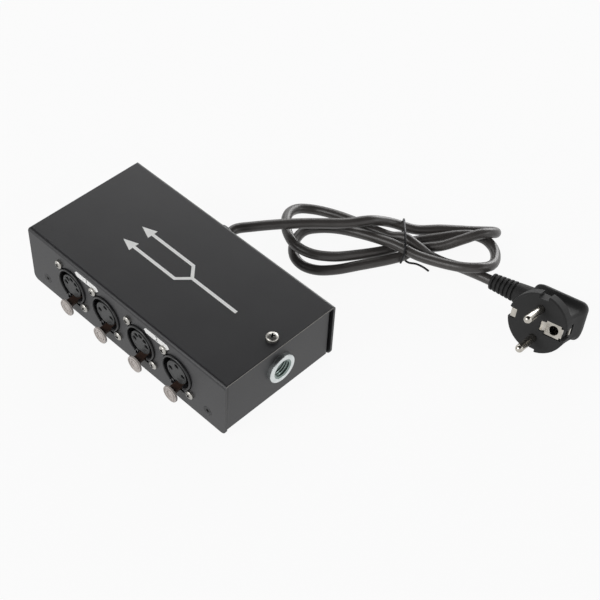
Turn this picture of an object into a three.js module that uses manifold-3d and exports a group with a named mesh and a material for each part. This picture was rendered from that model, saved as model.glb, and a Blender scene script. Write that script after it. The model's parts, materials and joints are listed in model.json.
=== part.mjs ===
// A splitter for stage lighting control signals, in a black sheet steel box with a threaded bush to hang it.
// Front: two 5-contact and two 3-contact female outlets. Back: one 5-pin and one 3-pin inlet, and the lead.
// Millimetres, +Z up. The box stands on its base, and the origin is the middle of the base's underside.
import * as THREE from "three";
import { mergeVertices } from "three/addons/utils/BufferGeometryUtils.js";
import Module from "manifold-3d";

const wasm = await Module();
wasm.setup();

// Box
const boxLength = 161;
const boxDepth = 82.5;
const boxHeight = 40;
const sheet = 1.5;
const coverBend = 2.2;
const coverCorner = 3.5;
const endRecess = 1.3;
const trayBend = 2.2;
const fit = 0.3;
const overrun = 2;
const mergeTolerance = 1e-4;

// Cover screws, countersunk into the long walls
const coverScrewHeight = 9;
const sinkHeadRadius = 2.9;
const sinkDepth = 1.4;
const sinkShankRadius = 1.4;
const sinkShankLength = 5.4;

// Pan-head screws
const panHeadRadius = 2.65;
const panHeadHeight = 1.9;
const panShankRadius = 1.5;

// Outlets and inlets, seen from outside: the latch of an outlet is at its lower edge
const outletCount = 4;
const socketHeight = 20.8;
const sleeveRadius = 11.25;
const sleeveStand = 1.3;
const sleeveDepth = 20;
const boreRadius = 9.9;
const boreDepth = 18;
const rimChamfer = 0.4;
const socketFlangeHalf = 13.2;
const socketFlangeThick = 3;
const socketFlangeCorner = 3;
const screwOffset = 10.05;
const socketSides = 28;

// Female insert
const insertRadius = 7.5;
const insertSides = 24;
const insertStand = 0.6;
const insertFootThick = 2;
const insertFootRadius = 9.5;
const contactCircle = 4.75;
const contactHoleRadius = 1.4;
const contactHoleDepth = 11;
const keyWidth = 2.4;
const keyCut = 1.1;
const keyLength = 8;

// Male insert
const inletFootDepth = 4;
const pinRadius = 1.2;
const pinLength = 11.5;
const pinTip = 0.9;

// Latch lever
const latchArmWidth = 5.3;
const latchSlotWidth = 6.4;
const latchSlotDepth = 15;
const ringNotchWidth = 10;
const panelNotchBelowBore = 3.5;
const pivotDepth = 3.6;
const pivotBelowBore = 6.6;
const trunnionRadius = 0.8;
const trunnionLength = 8.6;
const pocketClearance = 0.3;
const lugHalfWidth = 6.2;
const lugBelowBore = 8.7;
const latchRoomAsDrawn = 9.4;
const padRadiusAsDrawn = 5.2;
const padThickness = 1.4;
const padStand = 4.7;
const padBelowBore = 4.1;
const padEdge = 0.35;
const latchFinger = {
  reach: 11,
  toothBack: 10.4,
  toothCrownBack: 9.6,
  toothCrownFront: 8.6,
  toothFront: 7.2,
  toothHeight: 1.2,
  rise: 0.3,
  thick: 1.3,
};
const latchArm = { step: 1.1, bend: 2.4, fall: 0.5, rootBelow: 1, hollow: 0.8, thick: 1.4 };
const latchWeb = { half: 1.2, shoulder: 0.6 };

// Hanging bush, its block and its screw
const bushHeight = 22;
const bushFlangeRadius = 9.2;
const bushFlangeThick = 2.7;
const bushFlangeEdge = 0.4;
const bushBodyRadius = 7;
const bushBodyLength = 13.5;
const bushBoreRadius = 5.2;
const bushMouthRadius = 6.1;
const bushMouthDepth = 0.9;
const blockLength = 13;
const blockWidth = 24;
const blockBottom = 9;
const topScrewInset = 7.4;
const topScrewLength = 8;
const topHeadRadius = 3.6;
const topHeadHeight = 2.3;
const topShankRadius = 2;

// Cord gland
const glandX = -13.5;
const glandHeight = 20.5;
const glandHexAcross = 15;
const glandHexThick = 3;
const glandShankRadius = 6;
const glandShankLength = 8;
const glandNeckRadius = 5;
const glandNeckLength = 4;
const glandCapRadius = 7.2;
const glandCapLength = 6.4;
const glandCapDome = 1.8;
const glandBoreRadius = 3.5;
const glandNutAcross = 16;
const glandNutThick = 3;

// Circuit board and what it carries
const boardFromWall = 11.7;
const boardFromBlock = 6.7;
const boardDepth = 38;
const boardThick = 1.6;
const boardHeight = 7;
const postRadius = 2.8;
const postInset = 5;
const moduleSize = { length: 44, depth: 28, height: 20, chamfer: 2 };
const moduleFromEnd = 4;
const capacitorRadius = 6.5;
const capacitorHeight = 20;
const capacitorEdge = 0.8;
const capacitorFromMiddle = 8;
const capacitorY = -8;
const fuseSize = { length: 22, depth: 9, height: 8 };
const fuseFromTerminal = 9.5;
const fuseY = 9;
const fuseGrooveWidth = 6;
const fuseGrooveDepth = 3;
const terminalSize = { length: 15, depth: 9, height: 10 };
const terminalFromModule = 2.5;
const terminalY = 11;
const terminalWireWidth = 3.4;
const terminalWireDepth = 4;
const isolatorSize = { length: 20, depth: 10, height: 9 };
const isolatorFromEnd = 8;
const isolatorY = -6;

// Cord. Its lead is a list of points; the hank's four loops follow a formula.
const cordRadius = 3.1;
const cordLift = 0.2;
const cordMeet = 0.3;
const leadSides = 8;
const leadSteps = 22;
const hankSides = 6;
const hankStepsPerLoop = 24;
const hankX = 58.6;
const hankY = 126.9;
const hankTurn = THREE.MathUtils.degToRad(41.6);
const waistHalf = 8;
const hankReach = 70;
const entryAcross = 19.2;
const entryHeight = 10.8;
const bootStraight = 8;

// Tie
const tieRadius = 0.65;
const tieSides = 6;
const tieSteps = 44;

// Plug with side earth clips, lying on the floor
const plugX = 155.6;
const plugY = 127.3;
const plugZ = 19.5;
const plugYaw = THREE.MathUtils.degToRad(8.3);
const plugPitch = THREE.MathUtils.degToRad(-4.3);
const plugRoll = THREE.MathUtils.degToRad(71.6);
const plugFaceRadius = 18.2;
const plugSides = 36;
const bootSides = 16;
const plugFaceThick = 7;
const plugFaceEdge = 1.2;
const plugFaceStep = 3;
const plugDepth = 36;
const plugBodyHalfLength = 17;
const plugWaistHalfHeight = 9;
const plugRidgeHalfHeight = 12.4;
const plugBodyCorner = 4.5;
const plugAxisDepth = 24;
const bootRootRadius = 7;
const bootTipRadius = 5;
const bootReach = 41;
const bootRootReach = 13;
const bootRibs = 6;
const bootRibPitch = 2.7;
const bootRibCut = 1.2;
const pinSpread = 19;
const plugPinRadius = 2.4;
const plugPinLength = 19;
const plugPinSeat = 6;
const earthOffset = 10.3;
const earthHoleRadius = 3.2;
const earthHoleDepth = 14;
const earthSleeveWall = 0.5;
const earthRecess = 0.6;
const earthPlateLength = 10.3;
const earthPlateWidth = 8.4;
const earthTabLength = 3;
const earthTabWidth = 5.8;
const earthPlateThick = 0.8;
const clipWidth = 5.4;
const clipFold = 2.3;
const clipThick = 0.8;
const clipLength = 9;
const clipNotchWidth = 6.4;
const clipNotchDepth = 2.6;
const clipNotchLength = 12;
const guideWidth = 5.6;
const guideDepth = 2.4;
const guideLength = 9;

// Finishes
const finish = (color, roughness, metalness) =>
  new THREE.MeshStandardMaterial({ color, roughness, metalness });
const blackPaint = finish(0x404042, 0.6, 0.2);
const blackScrew = finish(0x1d1d1f, 0.45, 0.6);
const nickel = finish(0xb9b6b0, 0.25, 1);
const zinc = finish(0xc8c8c6, 0.3, 1);
const steel = finish(0x8a8a8a, 0.4, 1);
const housingPlastic = finish(0x2a2a2c, 0.5, 0);
const insertPlastic = finish(0x232325, 0.55, 0);
const latchPlastic = finish(0x4a3a30, 0.5, 0);
const cordRubber = finish(0x3a3a3b, 0.55, 0);
const plugRubber = finish(0x232324, 0.6, 0);
const boardGreen = finish(0x1f5b34, 0.5, 0);
const modulePlastic = finish(0x202124, 0.5, 0);
const capacitorSleeve = finish(0x23344f, 0.4, 0);
const terminalPlastic = finish(0x2c7a4b, 0.5, 0);

const X = new THREE.Vector3(1, 0, 0);
const Y = new THREE.Vector3(0, 1, 0);
const Z = new THREE.Vector3(0, 0, 1);
const minus = (axis) => axis.clone().negate();
const point = (x, y, z) => new THREE.Vector3(x, y, z);

// Solids

function solid(geometry) {
  const bare = geometry.clone();
  bare.deleteAttribute("normal");
  bare.deleteAttribute("uv");
  const merged = mergeVertices(bare, mergeTolerance);
  const index = Array.from(merged.index.array);
  const triangles = [];
  for (let i = 0; i < index.length; i += 3) {
    const [a, b, c] = index.slice(i, i + 3);
    if (a !== b && b !== c && c !== a) triangles.push(a, b, c);
  }
  const vertProperties = Float32Array.from(merged.attributes.position.array);
  return new wasm.Manifold(
    new wasm.Mesh({ numProp: 3, vertProperties, triVerts: Uint32Array.from(triangles) }),
  );
}

function mesh(name, material, body) {
  const { vertProperties, triVerts } = body.getMesh();
  const geometry = new THREE.BufferGeometry();
  geometry.setAttribute("position", new THREE.BufferAttribute(vertProperties, 3));
  geometry.setIndex(new THREE.BufferAttribute(triVerts, 1));
  const flat = geometry.toNonIndexed();
  flat.computeVertexNormals();
  const made = new THREE.Mesh(flat, material);
  made.name = name;
  return made;
}

// Puts a geometry's x along `across`, its y along `up` and its z along their cross product.
function laid(geometry, across, up, origin) {
  const basis = new THREE.Matrix4().makeBasis(across, up, across.clone().cross(up));
  return geometry.applyMatrix4(basis.setPosition(origin));
}

function box(length, depth, height, centre) {
  const geometry = new THREE.BoxGeometry(length, depth, height);
  return solid(geometry.translate(centre.x, centre.y, centre.z));
}

function prism(shape, depth, across, up, origin, curveSegments = 6) {
  const geometry = new THREE.ExtrudeGeometry(shape, { depth, bevelEnabled: false, curveSegments });
  return solid(laid(geometry, across, up, origin));
}

// Revolves a closed profile of [radius, distance along the axis] about `axis` through `origin`.
function turned(profile, sides, axis = Y, origin = point(0, 0, 0)) {
  const ring = profile.map(([radius, along]) => new THREE.Vector2(radius, along));
  if (THREE.ShapeUtils.area(ring) < 0) ring.reverse();
  if (ring[0].x > 0) ring.push(ring[0].clone());
  const side = Math.abs(axis.z) > 0 ? X : Z;
  const basis = new THREE.Matrix4().makeBasis(side, axis, side.clone().cross(axis));
  return solid(new THREE.LatheGeometry(ring, sides).applyMatrix4(basis.setPosition(origin)));
}

function rod(radius, length, sides, axis, origin) {
  return turned([[0, 0], [radius, 0], [radius, length], [0, length]], sides, axis, origin);
}

function roundedRectangle(length, height, corners) {
  const [a, b, c, d] = corners;
  const x = length / 2;
  const y = height / 2;
  const shape = new THREE.Shape();
  shape.moveTo(-x + a, -y);
  shape.lineTo(x - b, -y);
  if (b) shape.absarc(x - b, -y + b, b, -Math.PI / 2, 0, false);
  shape.lineTo(x, y - c);
  if (c) shape.absarc(x - c, y - c, c, 0, Math.PI / 2, false);
  shape.lineTo(-x + d, y);
  if (d) shape.absarc(-x + d, y - d, d, Math.PI / 2, Math.PI, false);
  shape.lineTo(-x, -y + a);
  if (a) shape.absarc(-x + a, -y + a, a, Math.PI, 1.5 * Math.PI, false);
  return shape;
}

// A sheet bent into a channel: open towards +y, its outer bends of radius `bend`.
function bentChannel(width, height, thickness, bend) {
  const x = width / 2;
  const inner = bend - thickness;
  const shape = new THREE.Shape();
  shape.moveTo(-x, height);
  shape.lineTo(-x, bend);
  shape.absarc(-x + bend, bend, bend, Math.PI, 1.5 * Math.PI, false);
  shape.lineTo(x - bend, 0);
  shape.absarc(x - bend, bend, bend, 1.5 * Math.PI, 2 * Math.PI, false);
  shape.lineTo(x, height);
  shape.lineTo(x - thickness, height);
  shape.lineTo(x - thickness, bend);
  shape.absarc(x - bend, bend, inner, 2 * Math.PI, 1.5 * Math.PI, true);
  shape.lineTo(-x + bend, thickness);
  shape.absarc(-x + bend, bend, inner, 1.5 * Math.PI, Math.PI, true);
  shape.lineTo(-x + thickness, height);
  return shape;
}

function hexagon(across) {
  const shape = new THREE.Shape();
  const radius = across / Math.sqrt(3);
  for (let i = 0; i < 6; i++) {
    const angle = (i * Math.PI) / 3;
    const corner = [radius * Math.cos(angle), radius * Math.sin(angle)];
    if (i) shape.lineTo(...corner);
    else shape.moveTo(...corner);
  }
  return shape;
}

// Places that the box gives to everything else
const frontFace = -boxDepth / 2;
const backFace = boxDepth / 2;
const trayLength = boxLength - 2 * endRecess;
const trayDepth = boxDepth - 2 * (sheet + fit);
const trayHeight = boxHeight - sheet - fit;
const endFace = trayLength / 2;
// Shares of the wall's length that the outlets leave free: between two of them, and from the last to the
// tray's flange. The cover's screw is at its own share of that flange.
const outletGapShare = 13 / 277;
const trayFlangeGapShare = 45 / 554;
const coverScrewShare = 29 / 90;
const freeWall = boxLength - 2 * outletCount * socketFlangeHalf;
const outletPitch = 2 * socketFlangeHalf + outletGapShare * freeWall;
const fromMiddle = (i, count) => i - (count - 1) / 2;
const socketXs = Array.from({ length: outletCount }, (_, i) => fromMiddle(i, outletCount) * outletPitch);
const inletXs = socketXs.slice(-2);
const trayFlangeEdge = socketXs[outletCount - 1] + socketFlangeHalf + trayFlangeGapShare * freeWall;
const trayFlange = endFace - trayFlangeEdge;
const coverScrewX = trayFlangeEdge + coverScrewShare * trayFlange;
const topScrewX = boxLength / 2 - topScrewInset;
const clipNotchFloor = plugFaceRadius - clipNotchDepth;
const earthPlateStart = clipNotchFloor - earthPlateLength;
const screwPlaces = [point(-screwOffset, 0, screwOffset), point(screwOffset, 0, -screwOffset)];
const latchScale = (socketHeight - sheet - boreRadius) / latchRoomAsDrawn;
const belowBore = (distance) => boreRadius + distance * latchScale;
const pivotDrop = belowBore(pivotBelowBore);
const panelNotchReach = belowBore(panelNotchBelowBore);
const lugReach = belowBore(lugBelowBore);
const padDrop = belowBore(padBelowBore);
const padRadius = padRadiusAsDrawn * latchScale;
const boardLeft = boardFromWall + sheet - endFace;
const boardRight = endFace - sheet - blockLength - boardFromBlock;
const boardLength = boardRight - boardLeft;
const boardX = (boardLeft + boardRight) / 2;
const boardTop = boardHeight + boardThick;
const moduleX = boardLeft + moduleFromEnd + moduleSize.length / 2;
const capacitorX = boardX + capacitorFromMiddle;
const terminalX = moduleX + (moduleSize.length + terminalSize.length) / 2 + terminalFromModule;
const fuseX = terminalX + (terminalSize.length + fuseSize.length) / 2 + fuseFromTerminal;
const isolatorX = boardRight - isolatorFromEnd - isolatorSize.length / 2;

// Housing

// The opening in a long wall that a socket's sleeve comes through, with its screw holes.
// `y` runs into the box, as in the socket itself.
function panelCut(withLatch) {
  const depth = sheet + 2 * overrun;
  let cut = rod(sleeveRadius + fit, depth, socketSides, Y, point(0, -overrun, 0));
  if (withLatch) {
    const place = point(0, depth / 2 - overrun, -panelNotchReach / 2);
    cut = cut.add(box(ringNotchWidth + 2 * fit, depth, panelNotchReach, place));
  }
  for (const place of screwPlaces) {
    cut = cut.add(rod(panShankRadius + fit / 2, depth, 12, Y, point(place.x, -overrun, place.z)));
  }
  return cut;
}

function coverScrewProfile(clearance) {
  return [
    [0, clearance ? -overrun : 0],
    [sinkHeadRadius + clearance, clearance ? -overrun : 0],
    [sinkHeadRadius + clearance, 0],
    [sinkShankRadius + clearance, sinkDepth],
    [sinkShankRadius + clearance, sinkShankLength + clearance],
    [0, sinkShankLength + clearance],
  ];
}

function coverScrewSpots() {
  const spots = [];
  for (const [side, y, inward] of [["front", frontFace, Y], ["back", backFace, minus(Y)]]) {
    for (const [end, x] of [["left", -coverScrewX], ["right", coverScrewX]]) {
      spots.push({ name: `cover_screw_${side}_${end}`, inward, place: point(x, y, coverScrewHeight) });
    }
  }
  return spots;
}

function topCover() {
  const channel = bentChannel(boxDepth, boxHeight, sheet, coverBend);
  let cover = prism(channel, boxLength, Y, minus(Z), point(boxLength / 2, 0, boxHeight), 5);
  const outline = roundedRectangle(boxLength, boxHeight, [coverCorner, coverCorner, 0, 0]);
  cover = cover.intersect(
    prism(outline, boxDepth + 2 * overrun, X, Z, point(0, backFace + overrun, boxHeight / 2), 5),
  );
  for (const x of socketXs) {
    cover = cover.subtract(panelCut(true).translate([x, frontFace, socketHeight]));
  }
  for (const x of inletXs) {
    cover = cover.subtract(panelCut(false).rotate([0, 0, 180]).translate([x, backFace, socketHeight]));
  }
  for (const { inward, place } of coverScrewSpots()) {
    cover = cover.subtract(turned(coverScrewProfile(fit / 2), 16, inward, place));
  }
  const depth = sheet + 2 * overrun;
  const glandPlace = point(glandX, backFace - sheet - overrun, glandHeight);
  const glandHole = rod(glandShankRadius + fit, depth, 24, Y, glandPlace);
  const screwPlace = point(topScrewX, 0, boxHeight - sheet - overrun);
  const screwHole = rod(topShankRadius + fit / 2, depth, 12, Z, screwPlace);
  return mesh("top_cover", blackPaint, cover.subtract(glandHole).subtract(screwHole));
}

function baseChassis() {
  const floorAndEnds = bentChannel(trayLength, trayHeight, sheet, trayBend);
  let tray = prism(floorAndEnds, trayDepth, X, Z, point(0, trayDepth / 2, 0), 4);
  const flanges = bentChannel(trayDepth, trayFlange, sheet, trayBend);
  const flangeHeight = trayHeight - trayBend;
  tray = tray.add(prism(flanges, flangeHeight, Y, minus(X), point(endFace, 0, trayBend), 4));
  tray = tray.add(prism(flanges, flangeHeight, minus(Y), X, point(-endFace, 0, trayBend), 4));
  const plan = roundedRectangle(trayLength, trayDepth, [trayBend, trayBend, trayBend, trayBend]);
  tray = tray.intersect(prism(plan, trayHeight + 2 * overrun, X, Y, point(0, 0, -overrun), 4));
  for (const x of [-1, 1]) {
    for (const y of [-1, 1]) {
      const fromCentre = [boardLength / 2 - postInset, boardDepth / 2 - postInset];
      const place = point(boardX + x * fromCentre[0], y * fromCentre[1], sheet / 2);
      tray = tray.add(rod(postRadius, boardHeight - sheet / 2, 10, Z, place));
    }
  }
  for (const { inward, place } of coverScrewSpots()) {
    tray = tray.subtract(turned(coverScrewProfile(fit), 12, inward, place));
  }
  const bushPlace = point(endFace - sheet - overrun, 0, bushHeight);
  const bushHole = rod(bushBodyRadius + fit, sheet + 2 * overrun, 28, X, bushPlace);
  return mesh("base_chassis", blackPaint, tray.subtract(bushHole));
}

function coverScrews() {
  return coverScrewSpots().map(({ name, inward, place }) => {
    return mesh(name, blackScrew, turned(coverScrewProfile(0), 12, inward, place));
  });
}

// Share of the head's radius and height, from the crown to the rim
const panHeadShares = [[0, 1], [0.5, 0.95], [0.85, 0.7], [1, 0.35], [1, 0]];

function panScrew(name, shankLength, inward, place, sizes = [panHeadRadius, panHeadHeight, panShankRadius]) {
  const [headRadius, headHeight, shankRadius] = sizes;
  const profile = panHeadShares.map(([r, h]) => [r * headRadius, -h * headHeight]);
  profile.push([shankRadius, 0], [shankRadius, shankLength], [0, shankLength]);
  return mesh(name, nickel, turned(profile, 12, inward, place));
}

// Sockets: built with y running into the box and their axis at the origin, in the plane of the wall's face

function socketShell(name, withLatch) {
  let shell = turned([
    [0, sleeveDepth],
    [sleeveRadius, sleeveDepth],
    [sleeveRadius, rimChamfer - sleeveStand],
    [sleeveRadius - rimChamfer, -sleeveStand],
    [boreRadius + rimChamfer, -sleeveStand],
    [boreRadius, rimChamfer - sleeveStand],
    [boreRadius, boreDepth],
    [0, boreDepth],
  ], socketSides);
  const corners = Array(4).fill(socketFlangeCorner);
  const flange = roundedRectangle(2 * socketFlangeHalf, 2 * socketFlangeHalf, corners);
  const flangeBack = sheet + socketFlangeThick;
  let plate = prism(flange, socketFlangeThick, X, Z, point(0, flangeBack, 0), 3);
  if (withLatch) {
    const lugPlace = point(0, flangeBack - socketFlangeThick / 2, -lugReach / 2);
    plate = plate.add(box(2 * lugHalfWidth, socketFlangeThick, lugReach, lugPlace));
  }
  const plateBore = [boreRadius + rimChamfer, socketFlangeThick + 2 * overrun];
  plate = plate.subtract(rod(...plateBore, socketSides, Y, point(0, sheet - overrun, 0)));
  shell = shell.add(plate);
  for (const place of screwPlaces) {
    const hole = rod(panShankRadius + fit / 2, flangeBack + overrun, 12, Y, point(place.x, 0, place.z));
    shell = shell.subtract(hole);
  }
  if (!withLatch) return mesh(name, housingPlastic, shell);
  const slotTop = (insertRadius + boreRadius) / 2;
  const slotLength = latchSlotDepth + sleeveStand + overrun;
  const slotHeight = lugReach + overrun - slotTop;
  const slotPlace = point(0, latchSlotDepth - slotLength / 2, -slotTop - slotHeight / 2);
  const ringNotch = box(
    ringNotchWidth, sleeveStand + overrun, sleeveRadius + overrun - slotTop,
    point(0, -(sleeveStand + overrun) / 2, -(sleeveRadius + overrun + slotTop) / 2),
  );
  const pocketLength = trunnionLength + 2 * pocketClearance;
  const pocketRadius = trunnionRadius + pocketClearance;
  const pocketDepth = flangeBack + overrun - pivotDepth;
  const pocketEnd = rod(pocketRadius, pocketLength, 12, X, point(-pocketLength / 2, pivotDepth, -pivotDrop));
  const pocketPlace = point(0, pivotDepth + pocketDepth / 2, -pivotDrop);
  const pocket = pocketEnd.add(box(pocketLength, pocketDepth, 2 * pocketRadius, pocketPlace));
  const slot = box(latchSlotWidth, slotLength, slotHeight, slotPlace);
  return mesh(name, housingPlastic, shell.subtract(slot).subtract(ringNotch).subtract(pocket));
}

// Contacts lie evenly on the upper half of their circle, from one side to the other.
function contactPlaces(count) {
  return Array.from({ length: count }, (_, i) => {
    const angle = (i * Math.PI) / (count - 1);
    return point(contactCircle * Math.cos(angle), 0, contactCircle * Math.sin(angle));
  });
}

function femaleInsert(name, count) {
  let insert = turned([
    [0, -insertStand],
    [insertRadius - rimChamfer, -insertStand],
    [insertRadius, rimChamfer - insertStand],
    [insertRadius, boreDepth - insertFootThick],
    [insertFootRadius, boreDepth - insertFootThick],
    [insertFootRadius, boreDepth],
    [0, boreDepth],
  ], insertSides);
  for (const place of contactPlaces(count)) {
    const holeLength = contactHoleDepth + insertStand + overrun;
    const holePlace = point(place.x, -insertStand - overrun, place.z);
    insert = insert.subtract(rod(contactHoleRadius, holeLength, 10, Y, holePlace));
  }
  const keyPlace = point(0, (keyLength - overrun) / 2 - insertStand, (keyCut - overrun) / 2 - insertRadius);
  const key = box(keyWidth, keyLength + overrun, keyCut + overrun, keyPlace);
  return mesh(name, insertPlastic, insert.subtract(key));
}

function maleInsert(name, count) {
  const footFront = boreDepth - inletFootDepth;
  let insert = rod(insertFootRadius, inletFootDepth, insertSides, Y, point(0, footFront, 0));
  for (const place of contactPlaces(count)) {
    const pin = turned([
      [0, -pinLength],
      [pinRadius - pinTip / 2, -pinLength],
      [pinRadius, pinTip - pinLength],
      [pinRadius, overrun],
      [0, overrun],
    ], 10, Y, point(place.x, footFront, place.z));
    insert = insert.add(pin);
  }
  return mesh(name, insertPlastic, insert);
}

// Outline of the lever from the side, as [distance in front of the wall's face, drop below the axis].
// The finger with its tooth reaches into the sleeve, the web goes down to the trunnions,
// and the arm comes out to the pad.
function latchLever(name) {
  const front = padStand + padThickness / 2;
  const fingerTop = boreRadius + fit / 2;
  const armTop = belowBore(latchArm.step);
  const outline = new THREE.Shape();
  outline.moveTo(-latchFinger.reach, fingerTop);
  outline.lineTo(-latchFinger.toothBack, fingerTop);
  outline.lineTo(-latchFinger.toothCrownBack, fingerTop - latchFinger.toothHeight);
  outline.lineTo(-latchFinger.toothCrownFront, fingerTop - latchFinger.toothHeight);
  outline.lineTo(-latchFinger.toothFront, fingerTop + latchFinger.rise);
  outline.lineTo(-sheet, armTop);
  outline.lineTo(latchArm.bend, armTop);
  outline.lineTo(front, armTop + latchArm.fall * latchScale);
  outline.lineTo(front, padDrop + latchArm.rootBelow * latchScale);
  outline.lineTo(padStand, padDrop + latchArm.rootBelow * latchScale);
  const armUnder = armTop + latchArm.thick * latchScale;
  const hollow = latchArm.hollow;
  outline.quadraticCurveTo(padStand - hollow, armUnder, latchArm.bend - hollow, armUnder);
  outline.lineTo(-sheet - fit, armUnder);
  outline.lineTo(latchWeb.half - pivotDepth, armUnder + latchWeb.shoulder * latchScale);
  outline.lineTo(latchWeb.half - pivotDepth, pivotDrop);
  outline.absarc(-pivotDepth, pivotDrop, latchWeb.half, 0, Math.PI, false);
  outline.lineTo(-pivotDepth - latchWeb.half, armUnder + latchWeb.shoulder * latchScale);
  outline.lineTo(-latchFinger.toothFront, fingerTop + latchFinger.thick);
  outline.lineTo(-latchFinger.reach, fingerTop + latchFinger.thick);
  const pull = { depth: latchArmWidth, bevelEnabled: false, curveSegments: 5 };
  const side = new THREE.ExtrudeGeometry(outline, pull);
  // The outline's x runs out of the box and its y down.
  const lever = solid(laid(side, minus(Y), minus(Z), point(-latchArmWidth / 2, 0, 0)));
  const trunnionEnd = point(-trunnionLength / 2, pivotDepth, -pivotDrop);
  const trunnion = rod(trunnionRadius, trunnionLength, 10, X, trunnionEnd);
  const pad = turned([
    [0, 0],
    [padRadius, 0],
    [padRadius, padThickness - padEdge],
    [padRadius - padEdge, padThickness],
    [0, padThickness],
  ], 24, minus(Y), point(0, -padStand, -padDrop));
  return mesh(name, latchPlastic, lever.add(trunnion).add(pad));
}

function outlets() {
  const made = [];
  socketXs.forEach((x, i) => {
    const number = i + 1;
    const outlet = new THREE.Group();
    outlet.position.set(x, frontFace, socketHeight);
    outlet.add(socketShell(`outlet_shell_${number}`, true));
    outlet.add(femaleInsert(`outlet_insert_${number}`, i % 2 ? 3 : 5));
    outlet.add(latchLever(`latch_${number}`));
    screwPlaces.forEach((place, k) => {
      const name = `outlet_screw_${number}${"ab"[k]}`;
      outlet.add(panScrew(name, sheet + socketFlangeThick, Y, place));
    });
    made.push(outlet);
  });
  return made;
}

function inlets() {
  return inletXs.map((x, i) => {
    const number = i + 1;
    const inlet = new THREE.Group();
    inlet.position.set(x, backFace, socketHeight);
    inlet.scale.set(-1, -1, 1);
    inlet.add(socketShell(`inlet_shell_${number}`, false));
    inlet.add(maleInsert(`inlet_insert_${number}`, i % 2 ? 3 : 5));
    screwPlaces.forEach((place, k) => {
      const name = `inlet_screw_${number}${"ab"[k]}`;
      inlet.add(panScrew(name, sheet + socketFlangeThick, Y, place));
    });
    return inlet;
  });
}

// Hanging bush in the right end wall, held in a steel block that the cover's screw clamps

function suspension() {
  const bush = turned([
    [bushMouthRadius, bushFlangeThick],
    [bushFlangeRadius - bushFlangeEdge, bushFlangeThick],
    [bushFlangeRadius, bushFlangeThick - bushFlangeEdge],
    [bushFlangeRadius, 0],
    [bushBodyRadius, 0],
    [bushBodyRadius, -bushBodyLength],
    [bushBoreRadius, -bushBodyLength],
    [bushBoreRadius, bushFlangeThick - bushMouthDepth],
  ], 28, X, point(endFace, 0, bushHeight));
  const blockRight = endFace - sheet;
  const blockHeight = trayHeight - blockBottom;
  const borePlace = point(blockRight - blockLength - overrun, 0, bushHeight);
  const bore = rod(bushBodyRadius + fit, blockLength + 2 * overrun, 28, X, borePlace);
  const screwPlace = point(topScrewX, 0, boxHeight - topScrewLength);
  const screwHole = rod(topShankRadius + fit / 2, topScrewLength + overrun, 12, Z, screwPlace);
  const blockMiddle = point(blockRight - blockLength / 2, 0, blockBottom + blockHeight / 2);
  const screwTop = point(topScrewX, 0, boxHeight);
  const screwSizes = [topHeadRadius, topHeadHeight, topShankRadius];
  const block = box(blockLength, blockWidth, blockHeight, blockMiddle);
  return [
    mesh("suspension_bush", zinc, bush),
    mesh("bush_block", steel, block.subtract(bore).subtract(screwHole)),
    panScrew("bush_screw", topScrewLength - fit, minus(Z), screwTop, screwSizes),
  ];
}

// Cord gland through the back wall

function gland() {
  const face = point(glandX, backFace, glandHeight);
  const out = (distance) => point(glandX, backFace + distance, glandHeight);
  const throughLength = glandShankLength + glandHexThick + glandCapLength + 2 * overrun;
  const through = (radius) => rod(radius, throughLength, 20, Y, out(-glandShankLength - overrun));
  const body = prism(hexagon(glandHexAcross), glandHexThick, X, Z, out(glandHexThick))
    .add(rod(glandShankRadius, glandShankLength, 20, minus(Y), face))
    .add(rod(glandNeckRadius, glandNeckLength, 20, Y, out(glandHexThick)))
    .subtract(through(glandBoreRadius));
  const cap = turned([
    [glandBoreRadius, glandCapLength],
    [glandCapRadius - glandCapDome, glandCapLength],
    [glandCapRadius, glandCapLength - glandCapDome],
    [glandCapRadius, 0],
    [glandNeckRadius + fit, 0],
    [glandNeckRadius + fit, glandNeckLength + fit],
    [glandBoreRadius, glandNeckLength + fit],
  ], 20, Y, out(glandHexThick));
  const nut = prism(hexagon(glandNutAcross), glandNutThick, X, Z, out(-sheet))
    .subtract(through(glandShankRadius + fit));
  return [
    mesh("gland_body", housingPlastic, body),
    mesh("gland_cap", housingPlastic, cap),
    mesh("gland_nut", housingPlastic, nut),
  ];
}

// Circuit board

function onBoard({ length, depth, height }, x, y) {
  return box(length, depth, height, point(x, y, boardTop + height / 2));
}

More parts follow.
